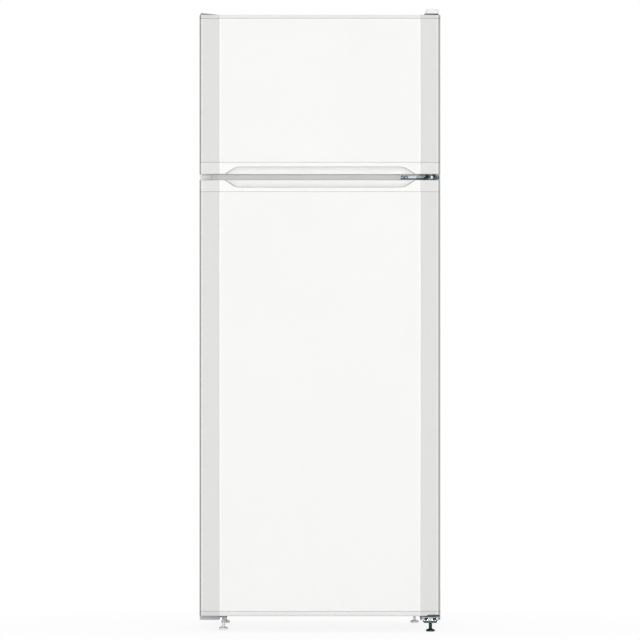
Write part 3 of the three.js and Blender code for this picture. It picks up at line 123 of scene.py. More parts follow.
class Finish(Nodes):
    def __init__(self, name):
        self.material = bpy.data.materials.new(name)
        self.material.use_nodes = True
        super().__init__(self.material.node_tree)
        self.shader = self.tree.nodes["Principled BSDF"]
        self.place = self.node("TexCoord", output="Object")

    def noise(self, scale, detail=2.0, stretch=(1, 1, 1), offset=0.0):
        place = self.node("Mapping", sockets={
            "Vector": self.place, "Scale": stretch, "Location": (offset, offset, offset)})
        return self.node("TexNoise", sockets={"Vector": place, "Scale": scale, "Detail": detail})

    # place along an axis, in millimetres
    def axis(self, name):
        return self.node("SeparateXYZ", sockets={"Vector": self.place}, output=name) * (1 / mm)

    def ramp(self, value, low, high):
        return self.node("MapRange", {"clamp": True}, {
            "Value": value, "From Min": low, "From Max": high}, output="Result")

    def tint(self, factor, first, second):
        first, second = (c if isinstance(c, Wire) else (*c, 1) for c in (first, second))
        return self.node("Mix", {"data_type": "RGBA"}, {0: factor, 6: first, 7: second}, output=2)

    # a colour that clouds over towards a darker share of itself
    def clouded(self, colour, share, scale, detail=3, low=0.3, high=0.75, offset=0.0):
        cloud = self.ramp(self.noise(scale, detail, offset=offset), low, high)
        return self.tint(cloud, colour, shaded(colour, share))

    def bump(self, height, distance, strength):
        normal = self.node("Bump", sockets={
            "Height": height, "Distance": distance * mm, "Strength": strength}, output="Normal")
        self.feed(self.shader.inputs["Normal"], normal)

    def surface(self, values):
        for key, value in values.items():
            self.feed(self.shader.inputs[key], value)
        return self.material


def shaded(colour, factor):
    return tuple(channel * factor for channel in colour)


# grip scoops in the caps on both sides of the gap between the doors
scoop = {
    "mouth": 217, "slope": 36, "height": 17, "depth": 18, "fullness": 0.92, "steepness": 1.38, "lip": 0.5,
    "edge": 1.0, "cap": 26.5}

# painted shade along the lip of the scoops, a line that stands in for the shadow under the lip; it is thicker
# and darker where the lip slopes
lipShade = {
    "gap": 1036.5, "gapHalf": 6.4, "thicker": 0.6, "solid": 0.5, "faded": 1.4, "flat": 0.75, "sloping": 0.58,
    "front": -309}


# draws a painted shade line along the lip of a scoop
def addScoopLine(paint, colour, base):
    steep, start = scoop["steepness"], 2 - scoop["steepness"]
    straight = (scoop["mouth"] - abs(paint.axis("X"))) * (steep / scoop["slope"])
    rise = straight.atLeast(0.0).atMost(steep)
    bent = (rise - start).atLeast(0.0)
    share = rise - bent * bent * (0.5 / (steep - start))
    sloping = 1 - paint.ramp(share, 0.8, 1.0)
    height = abs(paint.axis("Z") - lipShade["gap"]) - lipShade["gapHalf"]
    away = abs(height - share * scoop["height"]) - sloping * lipShade["thicker"]
    line = 1 - paint.ramp(away, lipShade["solid"], lipShade["faded"])
    # the painted shade is darker on the sloping ends of the lip
    lipShadeColour = paint.tint(sloping, shaded(base, lipShade["flat"]), shaded(base, lipShade["sloping"]))
    front = paint.axis("Y") < lipShade["front"]
    return paint.tint(line * front * (straight > 0.0), colour, lipShadeColour)


# bevelled strips at a door's sides, painted greyer as shade where they turn away from the light, with a
# painted highlight and a painted shade line along the crease, and a painted highlight band and a painted dark
# edge line along the outer edge. Each line has its place off the crease or the edge, its solid and its faded
# half width, and its tone
stripShading = {
    "crease": 228.5, "edge": 272.3, "shift": 0.65, "front": -296.5, "blend": 0.4,
    "light": (-1.6, 0.6, 1.8, 1.035), "shade": (1.4, 0.4, 1.4, 0.95),
    "band": (-4.6, 0.6, 2.0, 1.08), "outline": (0, 0.9, 1.7, 0.33)}


# paints shade and light onto the door's bevelled strips
def addStrips(paint, colour, base, share):
    def mark(name, away):
        place, solid, faded, tone = stripShading[name]
        return 1 - paint.ramp(abs(away - place), solid, faded), tone

    crease = abs(paint.axis("X")) - stripShading["crease"]
    # painted highlight just inside the crease
    line, tone = mark("light", crease)
    colour = paint.tint(line, colour, shaded(base, tone))
    # painted shade over the whole strip, greyer than the front
    stripShadeMask = paint.ramp(crease, -stripShading["blend"], stripShading["blend"])
    colour = paint.tint(stripShadeMask, colour, shaded(base, share))
    # painted shade on the strip beside the crease
    line, tone = mark("shade", crease)
    colour = paint.tint(line, colour, shaded(base, share * tone))
    front = paint.axis("Y") < stripShading["front"]
    edge = abs(paint.axis("X") + stripShading["shift"]) - stripShading["edge"]
    # a painted highlight band and a painted dark edge line along the rounded outer edge
    for name in ("band", "outline"):
        line, tone = mark(name, edge)
        colour = paint.tint(line * front, colour, shaded(base, share * tone))
    return colour


enamel = {
    "colour": (0.915, 0.915, 0.905), "dust": 0.985, "dustScale": 3.1, "roughness": 0.3, "smear": 0.08,
    "peel": 0.04, "peelScale": 420, "fineScale": 900}


def enamelFinish(name, tone=1.0, coat=0.35, strip=0.0):
    paint = Finish(name)
    base = shaded(enamel["colour"], tone)
    colour = paint.clouded(base, enamel["dust"], enamel["dustScale"], low=0.35, high=0.7, offset=4.0)
    # the strips get painted shade, with painted lines of light and shade
    if strip:
        colour = addStrips(paint, colour, base, strip)
    peel = paint.noise(enamel["peelScale"]) * 0.8 + paint.noise(enamel["fineScale"]) * 0.2
    paint.bump(peel, enamel["peel"], 0.5)
    rough = paint.ramp(paint.noise(7, 4, offset=2.0), 0.3, 0.75) * enamel["smear"]
    return paint.surface({
        "Base Color": colour, "Roughness": rough + enamel["roughness"],
        "Coat Weight": coat, "Coat Roughness": 0.12})


mould = {"grain": 0.08, "wear": 0.96, "wearScale": 11, "spread": 0.05}


def mouldFinish(name, colour, roughness, grainScale=1400, depth=1.0, coat=0.0, strip=0.0):
    plastic = Finish(name)
    grain = plastic.noise(grainScale, 3)
    tone = plastic.clouded(colour, mould["wear"], mould["wearScale"], offset=1.0)
    # the strips get painted shade, with painted lines of light and shade, and the scoop lips a painted shade
    # line
    if strip:
        tone = addStrips(plastic, tone, colour, strip)
        tone = addScoopLine(plastic, tone, colour)
    plastic.bump(grain, mould["grain"] * depth, 0.6)
    rough = plastic.ramp(grain, 0.3, 0.7).between(roughness - mould["spread"], roughness + mould["spread"])
    return plastic.surface({
        "Base Color": tone, "Roughness": rough, "Coat Weight": coat, "Coat Roughness": 0.15})


clear = {"haze": 0.97, "hazeScale": 16, "scuff": 0.12, "scuffScale": 260, "wave": 0.1, "waveScale": 60}


def clearFinish(name, colour, roughness):
    crystal = Finish(name)
    scuff = crystal.ramp(crystal.noise(clear["scuffScale"], 4, (1, 1, 8)), 0.55, 0.8)
    crystal.bump(crystal.noise(clear["waveScale"]), clear["wave"], 0.4)
    return crystal.surface({
        "Base Color": crystal.clouded(colour, clear["haze"], clear["hazeScale"]),
        "Roughness": scuff * clear["scuff"] + roughness, "Transmission Weight": 0.92, "IOR": 1.49})


metal = {"grain": 0.05, "grainScale": 600, "spangleScale": 260.0, "dark": 0.78, "spots": 0.05}


def metalFinish(name, colour, roughness, brushed=(1, 1, 1)):
    steel = Finish(name)
    lines = steel.noise(metal["grainScale"], 4, brushed)
    spangle = steel.node("TexVoronoi", sockets={
        "Vector": steel.place, "Scale": metal["spangleScale"]}, output="Color")
    grey = steel.node("RGBToBW", sockets={"Color": spangle})
    mixed = steel.tint(steel.ramp(lines * 0.6 + grey * 0.4, 0.2, 0.8), shaded(colour, metal["dark"]), colour)
    steel.bump(lines, metal["grain"], 0.5)
    rough = grey.between(roughness - metal["spots"], roughness + metal["spots"])
    return steel.surface({"Base Color": mixed, "Metallic": 1.0, "Roughness": rough})


blackPaint = {"colour": (0.018, 0.018, 0.02), "chip": (0.07, 0.068, 0.066), "chipScale": 55, "peel": 0.1}


def blackPaintFinish(name):
    paint = Finish(name)
    peel = paint.noise(700, 3)
    chips = paint.ramp(paint.noise(blackPaint["chipScale"], 5, offset=3.0), 0.72, 0.76)
    paint.bump(peel, blackPaint["peel"], 0.6)
    return paint.surface({
        "Base Color": paint.tint(chips, blackPaint["colour"], blackPaint["chip"]),
        "Roughness": peel.between(0.34, 0.5), "Coat Weight": 0.15})


foam = {"dark": (0.78, 0.66, 0.36), "pale": (0.85, 0.76, 0.5), "cellScale": 700.0, "cell": 0.4}


def foamFinish(name):
    rigid = Finish(name)
    cells = rigid.node("TexVoronoi", sockets={"Vector": rigid.place, "Scale": foam["cellScale"]})
    rigid.bump(cells, foam["cell"], 0.8)
    tone = rigid.tint(rigid.ramp(rigid.noise(30, 4), 0.3, 0.7), foam["dark"], foam["pale"])
    return rigid.surface({"Base Color": tone, "Roughness": cells.between(0.8, 0.95)})


rubber = {"grain": 0.08, "grainScale": 1100, "wear": 0.96, "wearScale": 20}


def rubberFinish(name, colour):
    soft = Finish(name)
    grain = soft.noise(rubber["grainScale"], 3)
    soft.bump(grain, rubber["grain"], 0.5)
    tone = soft.clouded(colour, rubber["wear"], rubber["wearScale"], high=0.7)
    return soft.surface({"Base Color": tone, "Roughness": grain.between(0.5, 0.66)})


# each finish, and the slot of the record that it stands for
finishes = {
    "enamel": (enamelFinish("white enamel"), "white_enamel"),
    # the door enamel's strip share paints shade on the bevelled strips
    "doorEnamel": (enamelFinish("door enamel", strip=0.812), "white_enamel"),
    # rail: a brighter copy of the white enamel, painted light that stands in for light in the shaded gap
    # between the doors
    "rail": (enamelFinish("rail enamel", 1.09, 1.0), "white_enamel"),
    "rearSheet": (enamelFinish("rear sheet", 0.82), "grey_back"),
    "cap": (mouldFinish("cap moulding", (0.9, 0.9, 0.893), 0.4), "cap_plastic"),
    # the door caps' strip share paints shade on the strips, and their scoop lips get a painted shade line
    "doorCap": (mouldFinish("door cap moulding", (0.945, 0.945, 0.935), 0.4, strip=0.825), "cap_plastic"),
    # end caps: a darker copy of the cap moulding, painted shade for caps that turn away from the light, with
    # painted shade on the strips
    "endCap": (mouldFinish("end cap moulding", (0.815, 0.815, 0.81), 0.42, strip=0.86), "cap_plastic"),
    "liner": (mouldFinish("liner", (0.885, 0.887, 0.88), 0.3, 500, 1.2, 0.3), "liner_plastic"),
    "grey": (mouldFinish("grey moulding", (0.49, 0.5, 0.515), 0.5), "grey_plastic"),
    "midGrey": (mouldFinish("cover moulding", (0.34, 0.35, 0.365), 0.5), "grey_plastic"),
    "plug": (mouldFinish("plug moulding", (0.89, 0.89, 0.885), 0.45), "grey_plastic"),
    "pale": (mouldFinish("pale moulding", (0.62, 0.63, 0.635), 0.48), "pale_plastic"),
    "footWhite": (mouldFinish("foot moulding", (0.93, 0.935, 0.93), 0.4), "pale_plastic"),
    "dark": (mouldFinish("dark moulding", (0.03, 0.031, 0.033), 0.5), "dark_plastic"),
    "blackRubber": (rubberFinish("black rubber", (0.03, 0.03, 0.03)), "dark_plastic"),
    "clear": (clearFinish("crystal moulding", (0.965, 0.985, 0.99), 0.05), "clear_plastic"),
    "glass": (clearFinish("shelf glass", (0.86, 0.95, 0.92), 0.01), "glass"),
    "zinc": (metalFinish("zinc", (0.29, 0.335, 0.35), 0.3), "zinc_steel"),
    "paleZinc": (metalFinish("bright zinc", (0.56, 0.63, 0.65), 0.24), "zinc_steel"),
    "galvanised": (metalFinish("galvanised sheet", (0.52, 0.545, 0.56), 0.4), "zinc_steel"),
    "darkSteel": (metalFinish("dark passivated steel", (0.11, 0.13, 0.145), 0.34), "dark_steel"),
    "blackSteel": (metalFinish("blackened steel", (0.028, 0.042, 0.048), 0.3), "dark_steel"),
    "copper": (metalFinish("copper", (0.72, 0.4, 0.26), 0.3, (1, 1, 0.2)), "copper"),
    "aluminium": (metalFinish("rolled aluminium", (0.78, 0.79, 0.8), 0.35, (0.05, 1, 1)), "aluminium"),
    "black": (blackPaintFinish("black paint"), "black_enamel"),
    "rubber": (rubberFinish("seal", (0.78, 0.78, 0.77)), "gasket"),
    "foam": (foamFinish("rigid foam"), "foam")}
print("finishes made")


def linked(name, data):
    made = bpy.data.objects.new(name, data)
    bpy.context.scene.collection.objects.link(made)
    return made


# a shape is a list of places in millimetres and a list of faces
def makeMesh(name, shape):
    mesh = bpy.data.meshes.new(name)
    mesh.from_pydata([[c * mm for c in vertex] for vertex in shape[0]], [], shape[1])
    made = bmesh.new()
    made.from_mesh(mesh)
    bmesh.ops.remove_doubles(made, verts=made.verts, dist=1e-6)
    bmesh.ops.recalc_face_normals(made, faces=made.faces)
    made.to_mesh(mesh)
    made.free()
    return mesh


# flat faces keep one shade, and only a bevel or what joins them is smoothed
def finishEdges(piece, sharp, bevel):
    mesh = piece.data
    mesh.polygons.foreach_set("use_smooth", [True] * len(mesh.polygons))
    mesh.set_sharp_from_angle(angle=math.radians(sharp))
    if bevel:
        soft = piece.modifiers.new("soft edges", "BEVEL")
        soft.width = bevel * mm
        soft.segments = 2
        soft.limit_method = "ANGLE"
        soft.angle_limit = math.radians(35)
        soft.harden_normals = True
    weigh = piece.modifiers.new("flat faces", "WEIGHTED_NORMAL")
    weigh.keep_sharp = True
    weigh.weight = 100


# takes a round or slotted hole out of a piece
def carve(piece, hole):
    tool = linked("cutter", makeMesh("cutter", hole))
    cut = piece.modifiers.new("cut", "BOOLEAN")
    cut.object = tool
    cut.solver = "EXACT"
    bpy.context.view_layer.update()
    seen = piece.evaluated_get(bpy.context.evaluated_depsgraph_get())
    result = bpy.data.meshes.new_from_object(seen)
    piece.modifiers.clear()
    piece.data = result
    bpy.data.objects.remove(tool)


# a new piece that rides a body, and the CAD node that it stands for
def meshPiece(name, shape, finish, node=None, body="cabinet", bevel=0, sharp=32, holes=()):
    material, slot = finishes[finish]
    piece = linked(name, makeMesh(name, shape))
    piece.data.materials.append(material)
    for hole in holes:
        carve(piece, hole)
    finishEdges(piece, sharp, bevel)
    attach(piece, body)
    if node:
        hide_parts(node)


# a node's box in millimetres
def boxOf(node):
    return [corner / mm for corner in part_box(node)]


def middleOf(node):
    low, high = boxOf(node)
    return (low + high) / 2


# closed sections with as many points each, joined one after the other
def loft(sections, closed=False):
    count = len(sections[0])
    faces = []
    for row in range(len(sections) - (0 if closed else 1)):
        after = (row + 1) % len(sections)
        for i in range(count):
            j = (i + 1) % count
            faces.append((row * count + i, row * count + j, after * count + j, after * count + i))
    if not closed:
        faces.append(tuple(reversed(range(count))))
        faces.append(tuple(range((len(sections) - 1) * count, len(sections) * count)))
    return [v for section in sections for v in section], faces


def joinShapes(shapes):
    vertices, faces = [], []
    for shapeVertices, shapeFaces in shapes:
        start = len(vertices)
        vertices.extend(shapeVertices)
        faces.extend(tuple(i + start for i in face) for face in shapeFaces)
    return vertices, faces


# count + 1 even steps from 0 to the whole
def spaced(whole, count):
    return [whole * i / count for i in range(count + 1)]


# quarter round as (inset, drop) pairs, from the side up to the top
def quarterRound(radius, steps):
    return [(radius * (1 - math.cos(a)), radius * (1 - math.sin(a))) for a in spaced(math.pi / 2, steps)]


def circle(radius, middle=(0, 0), steps=24):
    return [(middle[0] + radius * math.cos(2 * math.pi * i / steps),
             middle[1] + radius * math.sin(2 * math.pi * i / steps)) for i in range(steps)]


# the two places across an axis and the place along it, as a point
def point(axis, a, b, along):
    return {"x": (along, a, b), "y": (a, along, b), "z": (a, b, along)}[axis]


def prism(points, axis, start, end):
    return loft([[point(axis, a, b, along) for a, b in points] for along in (start, end)])


# sections of (inset, place along the axis), each an outline drawn in by its inset
def stacked(levels, outline, axis="z"):
    return loft([[point(axis, a, b, along) for a, b in outline(inset)] for inset, along in levels])


# rows of (radius, place along the axis), turned about a line. A row that also holds True is cut back by
# what the cut gives for a turn from 0 to 1 and the place along the axis
def turned(rows, axis, a, b, steps=32, cut=None, closed=False):
    rings = []
    for radius, along, *marked in rows:
        ring = []
        for i in range(steps):
            angle = 2 * math.pi * i / steps
            r = radius - (cut(i / steps, along) if marked else 0)
            ring.append(point(axis, a + r * math.cos(angle), b + r * math.sin(angle), along))
        rings.append(ring)
    return loft(rings, closed)


# evenly spaced grips or knurls
def lobes(count, depth):
    return lambda turn, along: depth * (0.5 - 0.5 * math.cos(2 * math.pi * count * turn))


# arc round a corner, from one leg to the other; it may take up a share of each leg
def fillet(before, corner, after, radius, steps, share=math.inf):
    b, c, a = (Vector(p) for p in (before, corner, after))
    legIn, legOut = (b - c).normalized(), (a - c).normalized()
    half = legIn.angle(legOut) / 2
    reach = min(radius / math.tan(half), (b - c).length * share, (a - c).length * share)
    radius = reach * math.tan(half)
    centre = c + (legIn + legOut).normalized() * (radius / math.sin(half))
    start, end = c + legIn * reach - centre, c + legOut * reach - centre
    return [tuple(centre + start.slerp(end, t) * radius) for t in spaced(1, steps)]


# closed outline of (a, b, radius) corners, each rounded by its radius
def rounded(corners, steps=4):
    points = []
    for i, (a, b, radius) in enumerate(corners):
        if radius <= 0:
            points.append((a, b))
            continue
        before, after = corners[i - 1][:2], corners[(i + 1) % len(corners)][:2]
        points.extend(fillet(before, (a, b), after, radius, steps))
    return points


def roundBox(a0, a1, b0, b1, radius, steps=4):
    return rounded([(a0, b0, radius), (a1, b0, radius), (a1, b1, radius), (a0, b1, radius)], steps)


# a section of (outward, y) pairs carried round a rounded rectangle that faces the front
def band(x0, x1, z0, z1, radius, section, steps):
    rings = []
    for out, y in section:
        ring = roundBox(x0 - out, x1 + out, z0 - out, z1 + out, max(radius + out, 0.6), steps)
        rings.append([(x, y, z) for x, z in ring])
    return loft(rings, closed=True)


# middle line of a tube, with each corner bent round a radius
def bentLine(corners, radius, steps):
    points = [corners[0]]
    for before, corner, after in zip(corners, corners[1:], corners[2:]):
        points.extend(fillet(before, corner, after, radius, steps, 0.499))
    return points + [corners[-1]]


def tube(line, radius, steps=12):
    points = [Vector(p) for p in line]
    sections = []
    across = None
    for i, place in enumerate(points):
        along = (points[min(i + 1, len(points) - 1)] - points[max(i - 1, 0)]).normalized()
        if across is None:
            across = along.orthogonal().normalized()
        across = (across - along * across.dot(along)).normalized()
        up = along.cross(across)
        sections.append([tuple(place + across * a + up * b) for a, b in circle(radius, steps=steps)])
    return loft(sections)


# sizes in metres. Each lamp has its place, the point that it is turned to, its size, its power in watts
# and its spread in degrees, which a grid makes narrow
studio = {
    "distance": 17.5, "height": 0.711, "frameWidth": 1.4586, "sky": 0.65, "floor": 60.0,
    "floorTones": ((0.86, 0.86, 0.86), (0.88, 0.88, 0.88)), "shade": 0.1, "shadeNear": 0.3, "shadeFar": 1.2,
    "lamps": [
        ("front light", (-4, -12.4, 0.9), (0, 0, 0.9), (3, 2.6), 300.0, 180),
        ("front light", (4, -12.4, 0.9), (0, 0, 0.9), (3, 2.6), 300.0, 180),
        ("top light", (0, 0.5, 5), (0, 0, 0.7), (5, 5), 35.0, 180),
        ("foot light", (0, -1.15, 0.01), (0, 0, 0.01), (0.8, 0.016), 0.015, 2.5)]}


def makeCamera():
    camera = linked("camera", bpy.data.cameras.new("camera"))
    camera.data.sensor_width = 36
    camera.data.lens = camera.data.sensor_width * studio["distance"] / studio["frameWidth"]
    camera.location = (0, cadLow.y - studio["distance"], studio["height"])
    camera.rotation_euler = (math.radians(90), 0, 0)
    camera.data.clip_end = 200
    bpy.context.scene.camera = camera


# pale round floor: its shade shows near the object and fades to plain white around it
def makeFloor():
    floor = Finish("pale floor")
    grain = floor.noise(40, 3)
    floor.surface({
        "Base Color": floor.tint(grain, *studio["floorTones"]), "Roughness": grain.between(0.55, 0.7)})
    away = floor.node("VectorMath", {"operation": "LENGTH"}, {0: floor.place}, output="Value")
    far = floor.ramp(away, studio["shadeNear"], studio["shadeFar"])
    share = floor.seen() * far.between(1 - studio["shade"], 1)
    white = floor.node("Emission", sockets={"Color": (1, 1, 1, 1), "Strength": 1.0})
    shader = Wire(floor.tree, floor.shader.outputs[0])
    mix = floor.node("MixShader", sockets={0: share, 1: shader, 2: white})
    floor.feed(floor.tree.nodes["Material Output"].inputs[0], mix)
    rim = circle(studio["floor"], steps=48)
    mesh = bpy.data.meshes.new("floor")
    mesh.from_pydata([(x, y, 0) for x, y in rim], [], [tuple(range(len(rim)))])
    mesh.materials.append(floor.material)
    linked("floor", mesh)


# soft box, unseen by the camera
def softBox(name, place, aim, size, power, spread):
    lamp = linked(name, bpy.data.lights.new(name, "AREA"))
    lamp.data.shape = "RECTANGLE"
    lamp.data.size, lamp.data.size_y = size
    lamp.data.energy = power
    lamp.data.spread = math.radians(spread)
    lamp.location = place
    lamp.rotation_euler = (Vector(aim) - Vector(place)).to_track_quat("-Z", "Y").to_euler()
    lamp.visible_camera = False


def makeLight():
    world = bpy.data.worlds.new("studio")
    world.use_nodes = True
    bpy.context.scene.world = world
    sky = Nodes(world.node_tree)
    background = sky.tree.nodes["Background"]
    sky.feed(background.inputs["Color"], (1, 1, 1, 1))
    sky.feed(background.inputs["Strength"], sky.seen().between(studio["sky"], 1))
    for lamp in studio["lamps"]:
        softBox(*lamp)


makeCamera()
makeFloor()
makeLight()
bpy.context.scene.view_settings.view_transform = "Standard"
print("camera, floor and light made")


# CAD nodes that keep their shape, by finish and by the width of their soft edges
dressed = {
    ("enamel", 0.6): ["cabinet_shell"],
    ("rearSheet", 0.4): ["rear_panel", "bottom_plate"],
    ("rail", 0.5): ["middle_rail"],
    ("liner", 2.0): ["fridge_liner", "freezer_liner", "fridge_door_liner", "freezer_door_liner"],
    ("liner", 1.2): ["freezer_shelf", "light_housing"],
    ("liner", 0.4): ["door_switch"],
    ("foam", 0): ["cabinet_foam", "fridge_door_foam", "freezer_door_foam"],
    ("clear", 1.0): ["bottle_rack", "middle_rack", "upper_rack", "freezer_door_rack", "crisper_left",
                     "crisper_right", "freezing_tray"],
    ("clear", 0.6): ["lamp_cover"],
    ("glass", 0.6): ["crisper_cover"],
    ("grey", 0.8): ["base_rail_left", "base_rail_right"],
    ("grey", 0.6): ["condenser_bracket_left", "condenser_bracket_right"],
    ("midGrey", 0.5): ["top_hole_cover"],
    ("pale", 1.0): ["evaporation_tray"],
    ("galvanised", 0.4): ["compressor_tray"],
    ("aluminium", 0.2): ["evaporator_plate"]}

for (finish, bevel), nodes in dressed.items():
    for piece in (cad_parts[node] for node in nodes):
        piece.data.materials.clear()
        piece.data.materials.append(finishes[finish][0])
        finishEdges(piece, 30, bevel)
print("CAD nodes dressed")


# doors: folded skins between moulded end caps
door = {
    "crease": 228.5, "strip": 46.5, "setback": 14, "shoulder": 4, "creaseRound": 9, "thickness": 50,
    "sheet": 1, "return": 14, "fold": 1.6, "seam": 0.1}
doorFront = cadLow.y / mm
doorBack = doorFront + door["thickness"]
halfWidth = cadHigh.x / mm
hinge = {
    "x": halfWidth - 23, "y": doorFront + 28, "bore": 5.4, "reach": 10, "pin": 5, "recess": 24}


def hingeDisc(radius, z0, z1, steps=32):
    return turned([(radius, z0), (radius, z1)], "z", hinge["x"], hinge["y"], steps)


# right half of a door's plan, from the crease round to the back
def doorHalfPlan(inset, foldRadius):
    side, face, back = halfWidth - inset, doorFront + inset, doorBack - inset
    crease, shoulder = (door["crease"], face), (side, face + door["setback"])
    points = fillet((0, face), crease, shoulder, door["creaseRound"], 4)
    points += fillet(crease, shoulder, (side, doorBack), door["shoulder"], 7)
    return points + fillet(shoulder, (side, back), (0, back), foldRadius, 4)


def mirrorPlan(half):
    return [(-x, y) for x, y in reversed(half)] + half


def doorSkin(node, body):
    low, high = boxOf(node)
    outer = doorHalfPlan(0, door["fold"])
    inner = doorHalfPlan(door["sheet"], door["fold"] * 0.5)
    lip = halfWidth - door["return"]
    outer.append((lip, doorBack))
    inner.append((lip, doorBack - door["sheet"]))
    outline = mirrorPlan(outer) + list(reversed(mirrorPlan(inner)))
    vertices, faces = prism(outline, "z", low.z + door["seam"], high.z - door["seam"])
    faces = faces[:-2]    # the ends are rings, so they are closed by four-sided faces
    count = len(outline)
    for row in (0, count):
        for i in range(len(outer) * 2 - 1):
            faces.append((row + i, row + i + 1, row + count - 2 - i, row + count - 1 - i))
    meshPiece(node + "_skin", (vertices, faces), "doorEnamel", node, body)


doorSkin("fridge_door_panel", "fridge_door")
doorSkin("freezer_door_panel", "freezer_door")


# share of a scoop's full section: a straight rise from the mouth's end, bent over into the flat length
def scoopShare(x):
    steep, start = scoop["steepness"], 2 - scoop["steepness"]
    rise = min(max((scoop["mouth"] - abs(x)) / scoop["slope"] * steep, 0), steep)
    return rise - max(rise - start, 0) ** 2 / (2 * (steep - start))


def frontAt(x):
    away = abs(x) - door["crease"]
    slope = door["setback"] / door["strip"]
    blend = door["creaseRound"] * slope
    face = max(away, 0) * slope
    if abs(away) < blend:
        face = slope * (away + blend) ** 2 / (4 * blend)
    turnStart = halfWidth - door["shoulder"] * (1 - math.sin(math.atan(slope)))
    if abs(x) > turnStart:
        along = min((abs(x) - turnStart) / (halfWidth - turnStart), 1)
        face = (turnStart - door["crease"]) * slope
        face += door["shoulder"] * 0.82 * (1 - math.sqrt(1 - along * along))
    return doorFront + face


groove = {"front": 27, "back": 43, "height": 10, "half": 171}


# one section across a grip cap: heights count from the edge at the gap towards the seam
def gripSection(x, height):
    face = frontAt(x)
    share, edge, full = scoopShare(x), scoop["edge"], scoop["fullness"]
    h, d = (max(scoop[size] * share, edge) for size in ("height", "depth"))
    sink = groove["height"] if abs(x) < groove["half"] else 0.02
    cove = []
    for t in spaced(1, 9)[1:-1]:
        y = 2 * t * (1 - t) * full * d + t * t * d
        cove.append((face + y, (1 - t) ** 2 * h + 2 * t * (1 - t) * full * h))
    inner, outer = doorFront + groove["front"], doorFront + groove["back"]
    points = [(face + 0.25, height), (face, height - 0.25)]
    points += fillet((face, height), (face, h), cove[0], min(scoop["lip"], h * 0.6), 5) + cove
    points += fillet(cove[-1], (face + d, 0), (inner, 0), min(edge, d * 0.4), 3)
    points += [(inner, 0), (inner, sink), (outer, sink), (outer, 0)]
    points += fillet((outer, 0), (doorBack, 0), (doorBack, height), edge, 3)
    points += [(doorBack, height - 0.25), (doorBack - 0.25, height)]
    return [(x, y, z) for y, z in points]


# places of the sections: close together at the slopes, the creases and the rounded sides
def gripStations():
    half = [scoop["mouth"] * 0.2 * i for i in range(4)]
    half += [groove["half"] - 0.05, groove["half"] + 0.05]
    half += [scoop["mouth"] - scoop["slope"] * (1 - share) for share in spaced(1, 18)]
    half += [door["crease"] + (i - 2) * 1.3 for i in range(5)]
    half += [halfWidth - door["shoulder"] * (1 - math.sin(a)) for a in spaced(math.pi / 2, 7)]
    return sorted([-x for x in half if x > 0] + half)


def gripCap(node, body, up):
    low, high = boxOf(node)
    edge = low.z if up > 0 else high.z
    height = scoop["cap"] - door["seam"]
    sections = [[(x, y, edge + up * z) for x, y, z in gripSection(x, height)] for x in gripStations()]
    bore = hingeDisc(hinge["bore"], edge - up, edge + up * hinge["reach"])
    meshPiece(node + "_moulding", loft(sections), "doorCap", node, body, sharp=40, holes=[bore])


gripCap("fridge_door_grip_cap", "fridge_door", -1)
gripCap("freezer_door_grip_cap", "freezer_door", 1)

# plain end caps: the door's plan, rounded towards the free edge
endCaps = {
    "freezer_door_top_cap": {"up": 1, "height": 8, "edge": 1.6, "seam": 0.25, "recess": 0},
    "fridge_door_bottom_cap": {"up": -1, "height": 11, "edge": 3, "seam": 0.12, "recess": 2.7}}


def endCap(node, body):
    low, high = boxOf(node)
    cap = endCaps[node]
    up = cap["up"]
    edge = high.z if up > 0 else low.z
    foot = door["seam"] - cap["height"]
    levels = [(cap["seam"], foot), (0, foot + cap["seam"])]
    levels += [(inset, -drop) for inset, drop in quarterRound(cap["edge"], 4)]
    levels = [(inset, edge + up * z) for inset, z in levels]
    shape = stacked(levels, lambda inset: mirrorPlan(doorHalfPlan(inset, door["fold"])))
    holes = [hingeDisc(hinge["bore"], edge + up, edge - up * hinge["reach"])]
    if cap["recess"]:
        holes.append(hingeDisc(hinge["recess"], edge + up, edge - up * cap["recess"]))
    meshPiece(node + "_moulding", shape, "endCap", node, body, sharp=40, holes=holes)


endCap("freezer_door_top_cap", "freezer_door")
endCap("fridge_door_bottom_cap", "fridge_door")
print("doors made")


# a round head with a cross recess, which is cut out of it
def screwHead(name, radius, height, x, face, z, toward, finish, node=None):
    profile = [(1, 0), (1, 0.35), (0.93, 0.7), (0.75, 0.9), (0.5, 1.0)]
    rows = [(radius * share, face + toward * rise * height) for share, rise in profile]
    arm, slit = radius * 0.6, radius * 0.13
    cross = [prism(roundBox(x - across, x + across, z - up, z + up, slit * 0.5, 1), "y",
                   face + toward * height * 0.45, face + toward * height * 1.5)
             for across, up in ((arm, slit), (slit, arm))]
    meshPiece(name, turned(rows, "y", x, z, 28), finish, node, sharp=40, holes=cross)


thread = {"pitch": 1.25, "depth": 0.35}


def threadedStem(radius, x, y, z0, z1):
    def cut(turn, z):
        return thread["depth"] * abs(2 * ((z / thread["pitch"] - turn) % 1) - 1)

    count = int((z1 - z0) / thread["pitch"] * 4)
    rows = [(radius, z0 + rise, True) for rise in spaced(z1 - z0, count)]
    return turned(rows, "z", x, y, 20, cut)


foot = {"disc": 10.5, "height": 7, "lobes": 14, "lobe": 0.7}


